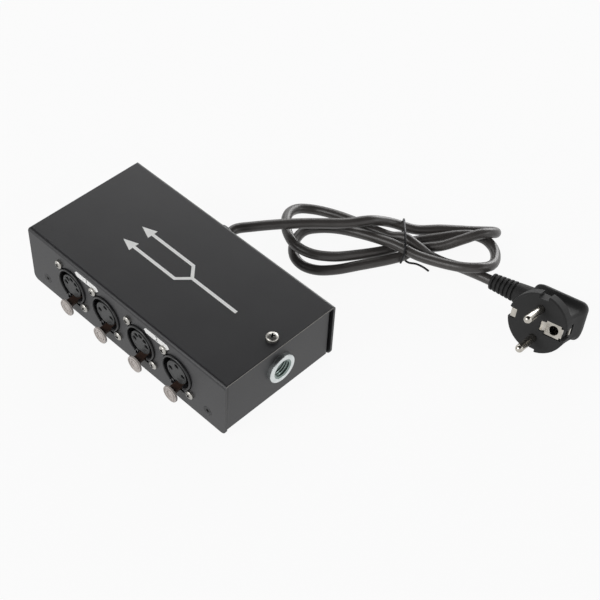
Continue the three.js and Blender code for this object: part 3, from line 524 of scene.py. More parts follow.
def finished(made: bpy.types.Object, finish: "Finish", body: str, replaces: Sequence[str] = ()) -> bpy.types.Object:
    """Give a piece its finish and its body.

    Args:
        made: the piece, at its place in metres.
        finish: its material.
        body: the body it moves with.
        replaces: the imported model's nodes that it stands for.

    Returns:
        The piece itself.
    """
    slots = made.data.materials
    if len(slots) > 1:
        slots[0] = finish.material()
    else:
        slots.clear()
        slots.append(finish.material())
    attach(made, body)
    if replaces:
        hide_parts(*replaces)
    LOG.info("%s rides on %s, in %s", made.name, body, finish.name)
    return made


# Finishes


def linear(code: str) -> tuple[float, float, float, float]:
    """Turn an sRGB hex colour to linear values.

    Args:
        code: six hex digits.

    Returns:
        Red, green, blue and alpha.
    """
    values = [int(code[i : i + 2], 16) / 255 for i in (0, 2, 4)]
    red, green, blue = [v / 12.92 if v <= 0.04045 else ((v + 0.055) / 1.055) ** 2.4 for v in values]
    return red, green, blue, 1.0


def add_node(
    tree: bpy.types.NodeTree, kind: str, settings: dict | None = None, inputs: dict | None = None
) -> bpy.types.Node:
    """Add one node with its settings, and its inputs as values or links.

    Args:
        tree: the node tree.
        kind: the node's type.
        settings: properties of the node by name.
        inputs: by socket name or number, a value or the socket it is linked from.

    Returns:
        The node.
    """
    node = tree.nodes.new(kind)
    for name, value in (settings or {}).items():
        setattr(node, name, value)
    for name, value in (inputs or {}).items():
        if isinstance(value, bpy.types.NodeSocket):
            tree.links.new(value, node.inputs[name])
        else:
            node.inputs[name].default_value = value
    return node


class Grain(Enum):
    """How a surface was made, which gives its fine pattern."""

    PEEL = "sprayed, with the slight orange peel of powder coat"
    MOULDED = "spark-eroded mould texture"
    BRUSHED = "ground along one axis"
    TURNED = "turned on a lathe"
    CAST = "rolled or cast, unworked"
    PRINTED = "screen printed"


# Ground lines run along y, so that pattern is drawn out that way
BRUSHED_STRETCH = (1, 0.06, 1)
# Noise values between which the colour drifts from one tone to the other
DRIFT_FROM, DRIFT_TO = 0.34, 0.66
BUMP_STRENGTH = 0.8


@dataclass(frozen=True)
class Finish:
    """One finish of the splitter: its colours, gloss and grain.

    The colour drifts from `colour` to `shade` in patches `drift_mm` wide, and the grain is `grain_mm` wide.
    """

    name: str
    slot: str
    colour: str
    shade: str
    roughness: float
    grain: Grain
    grain_mm: float
    bump_mm: float
    spread: float = 0.06
    drift_mm: float = 14.0
    metallic: float = 0.0
    ior: float = 1.5
    coat: float = 0.0
    sheen: float = 0.0

    def material(self) -> bpy.types.Material:
        """Return the finish's material, made at its first use."""
        known = bpy.data.materials.get(self.name)
        return known if known is not None else self._made()

    def _made(self) -> bpy.types.Material:
        """Build the material's nodes.

        Returns:
            The material.
        """
        material = bpy.data.materials.new(self.name)
        material.use_nodes = True
        material.diffuse_color = linear(self.colour)
        tree = material.node_tree
        shader = tree.nodes["Principled BSDF"]
        place = add_node(tree, "ShaderNodeTexCoord").outputs["Object"]
        stretch = BRUSHED_STRETCH if self.grain is Grain.BRUSHED else (1, 1, 1)
        grain_place = add_node(tree, "ShaderNodeMapping", inputs={"Vector": place, "Scale": stretch})
        grain = self._grain(tree, grain_place.outputs["Vector"])
        drift = add_node(
            tree, "ShaderNodeTexNoise", inputs={"Vector": place, "Scale": 1 / (self.drift_mm * MM), "Detail": 4.0}
        )
        blend = add_node(
            tree, "ShaderNodeMapRange",
            inputs={"Value": drift.outputs["Fac"], "From Min": DRIFT_FROM, "From Max": DRIFT_TO},
        )
        colour = add_node(
            tree, "ShaderNodeMix", {"data_type": "RGBA"},
            {0: blend.outputs["Result"], 6: linear(self.colour), 7: linear(self.shade)},
        )
        rough = add_node(
            tree, "ShaderNodeMapRange",
            inputs={"Value": grain, "To Min": self.roughness - self.spread, "To Max": self.roughness + self.spread},
        )
        bump = add_node(
            tree, "ShaderNodeBump",
            inputs={"Strength": BUMP_STRENGTH, "Distance": self.bump_mm * MM, "Height": grain},
        )
        tree.links.new(colour.outputs[2], shader.inputs["Base Color"])
        tree.links.new(rough.outputs["Result"], shader.inputs["Roughness"])
        tree.links.new(bump.outputs["Normal"], shader.inputs["Normal"])
        shader.inputs["Metallic"].default_value = self.metallic
        shader.inputs["IOR"].default_value = self.ior
        shader.inputs["Coat Weight"].default_value = self.coat
        shader.inputs["Sheen Weight"].default_value = self.sheen
        return material

    def _grain(self, tree: bpy.types.NodeTree, place: bpy.types.NodeSocket) -> bpy.types.NodeSocket:
        """Add the fine pattern.

        Args:
            tree: the material's nodes.
            place: where each point is, in metres.

        Returns:
            A socket from 0 to 1.
        """
        scale = 1 / (self.grain_mm * MM)
        if self.grain is Grain.MOULDED:
            cells = add_node(
                tree, "ShaderNodeTexVoronoi", {"feature": "SMOOTH_F1"},
                {"Vector": place, "Scale": scale, "Smoothness": 0.6},
            )
            return cells.outputs["Distance"]
        if self.grain is Grain.TURNED:
            rings = add_node(
                tree, "ShaderNodeTexWave", {"wave_type": "BANDS", "bands_direction": "DIAGONAL"},
                {"Vector": place, "Scale": scale / 6, "Distortion": 1.2, "Detail": 2.0},
            )
            return rings.outputs["Fac"]
        noise = add_node(
            tree, "ShaderNodeTexNoise", inputs={"Vector": place, "Scale": scale, "Detail": 3.0, "Roughness": 0.55}
        )
        return noise.outputs["Fac"]


# Powder coat on sheet steel: near black, a soft sheen with a faint orange peel that breaks the highlight.
POWDER_COAT = Finish(
    "powder_coated_steel", "black_paint", "202022", "252527", 0.43, Grain.PEEL, 0.9, 0.02, drift_mm=30.0
)
# A pale coat on the upward faces of the end roundings: a painted highlight, the fine pale line along the end's top.
EDGE_HIGHLIGHT_PAINT = Finish(
    "polished_powder_coat", "black_paint", "a29e96", "8f8b84", 0.35, Grain.CAST, 0.5, 0.002, drift_mm=6.0
)
# Black oxide on steel screws: darker than the box, oily sheen.
BLACK_OXIDE = Finish("black_oxide_steel", "black_screw", "1b1b1d", "242426", 0.38, Grain.CAST, 0.5, 0.01, metallic=0.6)
# Bright nickel plate on the plug's and inlets' contacts: warm silver, its reflections softly blurred.
NICKEL = Finish(
    "nickel_plated_steel", "nickel", "c0bcb4", "aeaaa2", 0.25, Grain.CAST, 0.6, 0.004, metallic=1.0, drift_mm=3.0
)
# Satin nickel on pressed screws: grey with a soft shine, so that the cross stands out dark.
SCREW_NICKEL = Finish(
    "satin_nickel", "nickel", "b9b7b2", "a8a6a1", 0.36, Grain.CAST, 0.5, 0.004, metallic=1.0, drift_mm=2.0
)
# Zinc plate on turned steel: pale grey with fine tool rings.
ZINC = Finish(
    "zinc_plated_steel", "zinc", "dfe3e3", "cfd4d4", 0.36, Grain.TURNED, 0.5, 0.003, metallic=1.0, drift_mm=5.0
)
# Cut thread with its cutting oil: greenish grey, wet in its flanks.
THREAD = Finish(
    "oiled_thread", "zinc", "8b9894", "7b8884", 0.32, Grain.TURNED, 0.5, 0.006, metallic=1.0, drift_mm=5.0
)
# Near black on the faces of a pressed cross: painted shade deep in the recess.
RECESS_SHADE = Finish("unpolished_recess", "nickel", "111110", "171716", 0.6, Grain.CAST, 0.3, 0.002, drift_mm=1.0)
# Milled steel inside: plain grey, brushed.
STEEL = Finish("milled_steel", "steel", "93938f", "84847f", 0.42, Grain.BRUSHED, 0.4, 0.01, metallic=1.0)
# Glass-filled nylon of the socket housings: black, finely pebbled, soft light along its edges.
SOCKET_NYLON = Finish("moulded_black_nylon", "housing_plastic", "1a1a1b", "202021", 0.38, Grain.MOULDED, 0.5, 0.015)
# Nylon of the contact inserts: a paler charcoal, matt.
INSERT_NYLON = Finish("moulded_grey_nylon", "insert_plastic", "282929", "303131", 0.48, Grain.MOULDED, 0.4, 0.015)
# Acetal of the latch levers: dark brown, waxy.
LATCH_ACETAL = Finish("brown_acetal", "latch_plastic", "3a2c26", "45342c", 0.42, Grain.MOULDED, 0.6, 0.01)
# Acetal of the latch pads: pale warm grey.
PAD_ACETAL = Finish("pale_acetal", "latch_plastic", "c0b9b4", "b0a9a4", 0.4, Grain.MOULDED, 0.6, 0.012)
# Rubber sheath of the mains lead: dark grey and matt, with a dusty bloom.
CORD_RUBBER = Finish(
    "sheath_rubber", "cord_rubber", "403d3b", "474442", 0.36, Grain.PEEL, 0.8, 0.02, sheen=0.05, drift_mm=9.0
)
# Moulded rubber of the plug: near black, satin.
PLUG_RUBBER = Finish("plug_rubber", "plug_rubber", "28282a", "303031", 0.3, Grain.MOULDED, 0.5, 0.02, coat=0.2)
# Glass epoxy board under green solder resist: glossy green.
BOARD = Finish("solder_resist_on_epoxy", "board", "1f5b34", "1a4d2c", 0.3, Grain.CAST, 0.8, 0.01, coat=0.4)
# Potted module cases: black, spark-eroded.
MODULE = Finish("module_case_plastic", "module_plastic", "202124", "27282b", 0.5, Grain.MOULDED, 0.5, 0.02)
# Shrunk sleeve of the capacitor: dark blue and shiny.
SLEEVE = Finish("capacitor_sleeve_pvc", "capacitor_sleeve", "23344f", "1e2d45", 0.25, Grain.CAST, 1.5, 0.02)
# Polyamide terminal block: green, slightly translucent in the real one, satin here.
TERMINAL = Finish("terminal_polyamide", "terminal_plastic", "2c7a4b", "286f44", 0.45, Grain.MOULDED, 0.6, 0.01)
# Screen-printed black ink of the numbers.
BLACK_INK = Finish("black_screen_ink", "black_paint", "242426", "2c2c2e", 0.5, Grain.PRINTED, 0.5, 0.002, drift_mm=4.0)
# Screen-printed white ink: flat white, a little worn.
WHITE_INK = Finish("white_screen_ink", "black_paint", "f4f4f2", "ebebe9", 0.5, Grain.PRINTED, 0.5, 0.002, drift_mm=4.0)


# The studio


@dataclass(frozen=True)
class SoftBox:
    """One square soft box, its place and size in metres and its power in watts."""

    name: str
    place: tuple[float, float, float]
    size: float
    power: float


@dataclass
class Studio:
    """Camera, floor and lights.

    The camera's place is in millimetres and its angles in degrees. Floor, boxes and cloth are in metres.
    """

    lens: float = 80.03
    place: tuple[float, float, float] = (389.66, -336.04, 570.96)
    azimuth: float = 41.626
    elevation: float = 47.299
    roll: float = 3.457
    sensor: float = 36.0
    floor_size: float = 6.0
    floor_glow: float = 0.95
    room_light: float = 0.66
    aim: tuple[float, float, float] = (0.03, 0.03, 0.02)
    boxes: tuple[SoftBox, ...] = (
        SoftBox("front_box", (-0.35, -1.25, 0.85), 0.9, 12.0),
        SoftBox("far_box", (-1.25, 1.05, 0.85), 0.9, 6.0),
        SoftBox("back_box", (-0.3, 1.3, 0.28), 0.7, 8.0),
        SoftBox("right_box", (1.25, 0.75, 0.72), 0.4, 2.0),
    )
    cloth_place: tuple[float, float, float] = (-0.8, -0.05, 2.0)
    cloth_size: tuple[float, float] = (6.0, 4.6)

    def build(self) -> None:
        """Set the camera, the floor, the lamps and the world."""
        self._camera()
        self._floor()
        self._lamps()
        self._cloth()
        self._world()
        bpy.context.scene.view_settings.view_transform = "Standard"

    def _camera(self) -> None:
        """Look at the splitter as the photograph does."""
        rest()
        bpy.ops.object.camera_add()
        camera = bpy.context.active_object
        camera.name = "camera"
        camera.data.lens = self.lens
        camera.data.sensor_width = self.sensor
        camera.data.clip_end = 20.0
        a, e, r = (math.radians(v) for v in (self.azimuth, self.elevation, self.roll))
        right = Vector((math.cos(a), math.sin(a), 0))
        back = Vector((math.sin(a) * math.cos(e), -math.cos(a) * math.cos(e), math.sin(e)))
        level_up = back.cross(right)
        across = right * math.cos(r) + level_up * math.sin(r)
        camera.matrix_world = axes(across, back.cross(across), Vector(self.place) * MM)
        bpy.context.scene.camera = camera

    @staticmethod
    def _seen_directly(tree: bpy.types.NodeTree) -> bpy.types.NodeSocket:
        """Tell rays from the camera, from gloss and through glass from those that light.

        Args:
            tree: the nodes of the floor or the world.

        Returns:
            A socket, 1 for such a ray and 0 for the others.
        """
        seen = add_node(tree, "ShaderNodeLightPath").outputs
        gloss = {0: seen["Is Camera Ray"], 1: seen["Is Glossy Ray"]}
        either = add_node(tree, "ShaderNodeMath", {"operation": "MAXIMUM"}, gloss)
        through = {0: either.outputs[0], 1: seen["Is Transmission Ray"]}
        return add_node(tree, "ShaderNodeMath", {"operation": "MAXIMUM"}, through).outputs[0]

    def _floor(self) -> None:
        """Lay a pale floor that shows white to the camera and keeps a faint shadow."""
        rest()
        bpy.ops.mesh.primitive_plane_add(size=self.floor_size)
        floor = bpy.context.active_object
        floor.name = "floor"
        material = bpy.data.materials.new("paper_sweep")
        material.use_nodes = True
        tree = material.node_tree
        tree.nodes.remove(tree.nodes["Principled BSDF"])
        paper = add_node(tree, "ShaderNodeBsdfDiffuse", inputs={"Color": linear("f2f2f2")})
        glow = add_node(tree, "ShaderNodeEmission", inputs={"Color": linear("fdfdfd"), "Strength": 1.0})
        seen = {0: self._seen_directly(tree), 1: self.floor_glow}
        share = add_node(tree, "ShaderNodeMath", {"operation": "MULTIPLY"}, seen)
        mix = add_node(
            tree, "ShaderNodeMixShader", inputs={0: share.outputs[0], 1: paper.outputs[0], 2: glow.outputs[0]}
        )
        tree.links.new(mix.outputs[0], tree.nodes["Material Output"].inputs["Surface"])
        floor.data.materials.append(material)

    def _lamps(self) -> None:
        """Hang soft boxes: before the outlets, beyond the far end, behind the plug and to the right."""
        for box in self.boxes:
            rest()
            bpy.ops.object.light_add(type="AREA", location=box.place)
            lamp = bpy.context.active_object
            lamp.name = box.name
            lamp.data.size = box.size
            lamp.data.energy = box.power
            lamp.rotation_euler = (Vector(self.aim) - Vector(box.place)).to_track_quat("-Z", "Y").to_euler()

    def _cloth(self) -> None:
        """Stretch a black cloth over the set and the camera: the satin top and the metal reflect it."""
        rest()
        bpy.ops.mesh.primitive_plane_add(size=1, location=self.cloth_place)
        cloth = bpy.context.active_object
        cloth.name = "black_cloth"
        bpy.ops.transform.resize(value=(*self.cloth_size, 1.0), center_override=cloth.location)
        material = bpy.data.materials.new("black_molton")
        material.use_nodes = True
        shader = material.node_tree.nodes["Principled BSDF"]
        shader.inputs["Base Color"].default_value = linear("1c1c1e")
        shader.inputs["Roughness"].default_value = 1.0
        cloth.data.materials.append(material)

    def _world(self) -> None:
        """Light the room evenly, and show white where the floor ends."""
        world = bpy.data.worlds.new("room")
        world.use_nodes = True
        tree = world.node_tree
        white = add_node(tree, "ShaderNodeBackground", inputs={"Color": linear("fdfdfd"), "Strength": 1.0})
        room = add_node(
            tree, "ShaderNodeBackground", inputs={"Color": linear("f4f5f7"), "Strength": self.room_light}
        )
        mix = add_node(
            tree, "ShaderNodeMixShader", inputs={0: self._seen_directly(tree), 1: room.outputs[0], 2: white.outputs[0]}
        )
        tree.links.new(mix.outputs[0], tree.nodes["World Output"].inputs["Surface"])
        bpy.context.scene.world = world


# Mains cord, its plug and its tie


def smooth_curve(places: Sequence[Vector], steps: int) -> list[Vector]:
    """Follow a centripetal Catmull-Rom curve through places.

    Args:
        places: what the curve goes through.
        steps: points from each place to the next.

    Returns:
        The curve's points, both ends among them.
    """
    before = 2 * places[0] - places[1]
    after = 2 * places[-1] - places[-2]
    padded = [before, *places, after]
    curve = []
    for i in range(1, len(padded) - 2):
        p0, p1, p2, p3 = padded[i - 1 : i + 3]
        d0, d1, d2 = (max((b - a).length, 1e-4) ** 0.5 for a, b in ((p0, p1), (p1, p2), (p2, p3)))
        leave = ((p1 - p0) / d0 - (p2 - p0) / (d0 + d1) + (p2 - p1) / d1) * d1
        arrive = ((p2 - p1) / d1 - (p3 - p1) / (d1 + d2) + (p3 - p2) / d2) * d1
        for k in range(steps):
            t = k / steps
            curve.append(
                p1 + leave * t + (3 * (p2 - p1) - 2 * leave - arrive) * t**2
                + (2 * (p1 - p2) + leave + arrive) * t**3
            )
    curve.append(places[-1].copy())
    return curve


def smooth_value(values: Sequence[float], share: float) -> float:
    """Follow a smooth curve through evenly spaced values.

    Args:
        values: what the curve goes through.
        share: how far along them, from 0 to 1.

    Returns:
        The value there.
    """
    spans = len(values) - 1
    first = min(math.floor(share * spans), spans - 1)
    f = share * spans - first
    value = [values[min(max(first + i, 0), spans)] for i in (-1, 0, 1, 2)]
    slopes = (value[2] - value[0]) / 2, (value[3] - value[1]) / 2
    rise, ease = f * f * (3 - 2 * f), f * f * (f - 1)
    return value[1] * (1 - rise) + value[2] * rise + slopes[0] * (ease - f * (f - 1)) + slopes[1] * ease


@dataclass(frozen=True)
class Loop:
    """One loop of the hank, in shares of the hank's reach, and its heights in shares of the cord's diameter."""

    end: int
    reach: float
    out: float
    back: float
    sway: float
    start: float
    finish: float
    heights: tuple[float, ...]
    waist: float
    waist_height: float


@dataclass
class Hank:
    """Where the cord's hank lies: its waist, its turn, and places in it."""

    x: float = 58.6
    y: float = 126.9
    turn: float = math.radians(41.6)

    def place(self, along: float, across: float, height: float) -> Vector:
        """Return a place in the hank.

        Args:
            along: from its waist towards the plug.
            across: away from the box.
            height: above the floor.

        Returns:
            The place in the splitter's own axes.
        """
        c, s = math.cos(self.turn), math.sin(self.turn)
        return Vector((self.x + along * c - across * s, self.y + along * s + across * c, height))


@dataclass
class MainsPlug:
    """The moulded mains plug with side earth clips, lying on the floor."""

    x: float = 155.6
    y: float = 127.3
    z: float = 19.5
    roll: float = 71.6
    pitch: float = -4.3
    yaw: float = 8.3
    face: float = 18.2
    face_thick: float = 7.0
    face_step: float = 3.0
    depth: float = 36.0
    half_length: float = 17.0
    waist: float = 9.0
    ridge: float = 12.4
    corner: float = 4.5
    axis_depth: float = 24.0
    boot_root: float = 7.0
    boot_tip: float = 5.0
    boot_root_reach: float = 13.0
    boot_reach: float = 41.0
    boot_ribs: int = 6
    boot_pitch: float = 2.7
    boot_cut: float = 1.2
    pin: float = 2.4
    pin_length: float = 19.0
    pin_spread: float = 19.0
    earth_x: float = 10.3
    earth_hole: float = 3.2
    earth_depth: float = 14.0
    plate_length: float = 10.3
    plate_width: float = 8.4
    tab_length: float = 3.0
    tab_width: float = 5.8
    clip: float = 5.4
    clip_fold: float = 2.3
    clip_length: float = 9.0
    # How deep in their notches the near and the far clip begin
    clip_starts: tuple[float, float] = (5.2, 8.2)
    clip_notch: float = 6.4
    clip_notch_depth: float = 2.6
    clip_notch_length: float = 12.0
    guide: float = 5.6
    guide_depth: float = 2.4
    guide_length: float = 9.0
    # Depth, middle, length, rise from waist to ridge, and corner of each section, as shares of the body's sizes
    sections: tuple[tuple[float, float, float, float, float], ...] = (
        (0.14, 0.07, 0.88, 0.25, 0.45), (0.25, 0.085, 0.895, 0.05, 0.45), (0.36, 0.1, 0.91, 0, 0.45),
        (0.44, 0.115, 0.93, 0.02, 0.5), (0.5, 0.125, 0.95, 0.1, 0.6), (0.555, 0.13, 0.97, 0.5, 0.8),
        (0.59, 0.135, 0.98, 0.9, 1), (0.62, 0.135, 0.98, 1, 1), (0.66, 0.135, 0.98, 0.86, 1),
        (0.75, 0.135, 0.95, 0.45, 1), (0.86, 0.12, 0.89, -0.2, 1), (0.93, 0.11, 0.82, -0.62, 1),
        (0.97, 0.1, 0.74, -0.98, 1), (1, 0.09, 0.62, -1.5, 0.8),
    )

    @property
    def frame(self) -> Matrix:
        """The plug's axes: its face at z = 0, its pins along z, its cord leaving along -x."""
        turn = (
            Matrix.Rotation(math.radians(self.yaw), 4, "Z")
            @ Matrix.Rotation(math.radians(self.pitch), 4, "Y")
            @ Matrix.Rotation(math.radians(self.roll), 4, "X")
        )
        return Matrix.Translation((self.x, self.y, self.z)) @ turn

    def _disc(self) -> Piece:
        """Turn the face disc and the step behind it.

        Returns:
            The disc.
        """
        r, t = self.face, self.face_thick
        profile = [(0, 0), (r - 1.5, 0), *arc(r - 1.2, -1.2, 1.2, 82, 0, 6), (r, 0.3 - t), (r - 0.3, -t)]
        profile += [(self.waist + 1.4, -t - 0.5), (self.waist, -t - self.face_step), (0, -t - self.face_step)]
        return Piece.turned("plug_moulding", profile, 96)

    @property
    def notch_floor(self) -> float:
        """How far from the plug's axis the notches of the side clips end."""
        return self.face - self.clip_notch_depth

    def _grip(self) -> Piece:
        """Loft the body from its waist over the finger ridge to its back.

        Returns:
            The body, without disc or boot.
        """
        rings = []
        steps = 2 * (len(self.sections) - 1)
        for k in range(steps + 1):
            depth, middle, length, rise, corner = (
                smooth_value(values, k / steps) for values in zip(*self.sections)
            )
            size = 2 * length * self.half_length, 2 * (self.waist + rise * (self.ridge - self.waist))
            outline = rounded_rectangle(*size, corner * self.corner, 7)
            rings.append([(x + middle * self.half_length, y, -depth * self.depth) for x, y in outline])
        return Piece.lofted("grip", rings)

    def _boot(self) -> Piece:
        """Turn the boot: smooth at the body, ribbed towards the cord.

        Returns:
            The boot.
        """
        ribs_from = self.boot_reach - self.boot_ribs * self.boot_pitch
        slope = (self.boot_root - self.boot_tip) / (self.boot_reach - self.boot_root_reach)
        profile = [(0, 0), (self.boot_root, 0), (self.boot_root, self.boot_root_reach)]
        for k in range(self.boot_ribs):
            z = ribs_from + k * self.boot_pitch
            r = self.boot_root - slope * (z - self.boot_root_reach)
            profile += [(r - 0.1, z - 0.12), (r - 0.28, z), (r - self.boot_cut, z + 0.2), (r - self.boot_cut, z + 0.95)]
            profile += [(r - 0.28, z + 1.15), (r - 0.1, z + 1.27)]
        tip = self.boot_tip
        profile += [(tip, self.boot_reach - 0.3), (tip - 0.3, self.boot_reach), (0, self.boot_reach)]
        frame = Matrix.Translation((0, 0, -self.axis_depth)) @ Matrix.Rotation(math.radians(-90), 4, "Y")
        return Piece.turned("boot", profile, 56, frame)

    def _pocket(self, start: float, end: float, width: float) -> Piece:
        """Make the tool for a shallow pocket in the face, round a strip.

        Args:
            start: x of the strip's inner end.
            end: x of its outer end.
            width: of the strip.

        Returns:
            The tool.
        """
        size = end - start + 0.6, width + 0.6
        frame = Matrix.Translation(((start + end) / 2, 0, -1.4))
        return Piece.drawn("pocket", rounded_rectangle(*size, 0.5, 3), 4, frame)

    def _moulding(self) -> Piece:
        """Weld disc, body and boot, and cut the notches, pin seats and the earth contact's pocket.

        Returns:
            The moulding.
        """
        body = self._disc().weld(self._grip(), self._boot())
        r = self.face
        for side in (-1, 1):
            near, far = sorted((side * self.notch_floor, side * (r + 2)))
            half = self.clip_notch / 2
            body.cut(Piece.block("clip_notch", (near, -half, -self.clip_notch_length), (far, half, 2)))
            near, far = sorted((side * (r - self.guide_depth), side * (r + 2)))
            half = self.guide / 2
            body.cut(Piece.block("guide_notch", (-half, near, -self.guide_length), (half, far, 2)))
            snug = self.pin + 0.06
            seat = [(0, -6), (snug, -6), (snug, -0.1), (snug + 0.14, 0.01), (snug + 0.14, 2), (0, 2)]
            body.cut(Piece.turned("seat", seat, 40, Matrix.Translation((0, side * self.pin_spread / 2, 0))))
        start, floor = self.notch_floor - self.plate_length, self.notch_floor
        body.cut(self._pocket(start, floor, self.plate_width))
        body.cut(self._pocket(start - self.tab_length, start, self.tab_width))
        body.cut(self._pocket(-floor, self.clip_fold - floor, self.clip))
        hole = Matrix.Translation((self.earth_x, 0, 0))
        body.cut(Piece.rod("earth_hole", self.earth_hole + 0.3, -self.earth_depth, 1, 40, hole))
        return body.bevelled(0.22, 2, 48)

    def _earth_plate(self) -> Piece:
        """Stamp the earth contact: a notched plate with its sleeve, and a tab bent up at its inner end.

        Returns:
            The contact.
        """
        left, right, y, n = self.notch_floor - self.plate_length, self.notch_floor, self.plate_width / 2, 1.3
        outline = [
            (left, -y), (right - n, -y), (right - n, -y + n), (right, -y + n),
            (right, y - n), (right - n, y - n), (right - n, y), (left, y),
        ]
        plate = Piece.drawn("earth_plate", outline, 0.8, Matrix.Translation((0, 0, -1.4)))
        end = left - self.tab_length
        bend = [(left + 0.5, -0.6), (left - 0.9, -0.95), (left - 1.8, -0.3), (end, -0.3), (end, -0.95)]
        bend += [(left - 2, -0.95), (left - 1.1, -1.4), (left + 0.5, -1.4)]
        frame = Matrix.Translation((0, self.tab_width / 2, 0)) @ STOOD_UP
        plate.weld(Piece.drawn("tab", bend, self.tab_width, frame))
        hole = Matrix.Translation((self.earth_x, 0, 0))
        plate.weld(Piece.rod("sleeve", self.earth_hole, 0.3 - self.earth_depth, -1.0, 40, hole))
        bore = self.earth_hole - 0.5
        profile = [(0, -20), (bore, -20), (bore, -0.9), (bore + 0.3, -0.55), (bore + 0.3, 1), (0, 1)]
        return plate.cut(Piece.turned("bore", profile, 40, hole)).bevelled(0.1, 1, 50)

    def _clip(self, side: int) -> Piece:
        """Bend a side clip: a strip that bows out along the notch, the near one folded over the face.

        Args:
            side: -1 near the cord, 1 away from it.

        Returns:
            The clip.
        """
        inner = self.notch_floor + 0.3
        start = -self.clip_starts[side > 0]
        bow = [(0.0, -self.clip_length - 0.6), (0.5, -self.clip_length + 1.2), (0.9, start - 1.0), (0.5, start)]
        front = [(inner + 0.8 + b * 0.35, z) for b, z in bow]
        back = [(inner + b * 0.35, z) for b, z in reversed(bow)]
        top = [(inner + 0.7, start + 0.6), (inner, start + 0.6)]
        if side < 0:
            fold = self.notch_floor - self.clip_fold
            top = [(inner + 0.8, -0.9), (inner + 0.5, -0.6), (fold, -0.6), (fold, -1.3), (inner, -1.3)]
        frame = Matrix.Translation((0, self.clip / 2, 0)) @ STOOD_UP
        outline = [(side * a, z) for a, z in (*front, *top, *back)]
        return Piece.drawn("clip", outline, self.clip, frame).bevelled(0.12, 2, 50)

    def build(self) -> list[bpy.types.Object]:
        """Mould the plug and set its metal.

        Returns:
            The plug's pieces.
        """
        frame = self.frame
        made = [self._moulding().stand(frame).settle(PLUG_RUBBER, "housing", ["plug_body"])]
        p, long = self.pin, self.pin_length
        tip = [(p * math.sin(a), long - p + p * math.cos(a)) for a in (math.radians(10 * k) for k in range(10))]
        pin = Piece.turned("pin_model", [*tip, (p, -6), (0, -6)], 40)
        for name, side in (("upper", 1), ("lower", -1)):
            place = frame @ Matrix.Translation((0, side * self.pin_spread / 2, 0))
            made.append(pin.copied(f"mains_pin_{name}", place).settle(NICKEL, "housing", [f"plug_pin_{name}"]))
        pin.scrap()
        made.append(self._earth_plate().stand(frame).settle(NICKEL, "housing", ["earth_contact"]))
        for name, side in (("near", -1), ("far", 1)):
            clip = self._clip(side)
            clip.obj.name = clip.obj.data.name = f"side_clip_{name}"
            made.append(clip.stand(frame).settle(NICKEL, "housing", [f"earth_clip_{name}"]))
        LOG.info("plug is made")
        return made


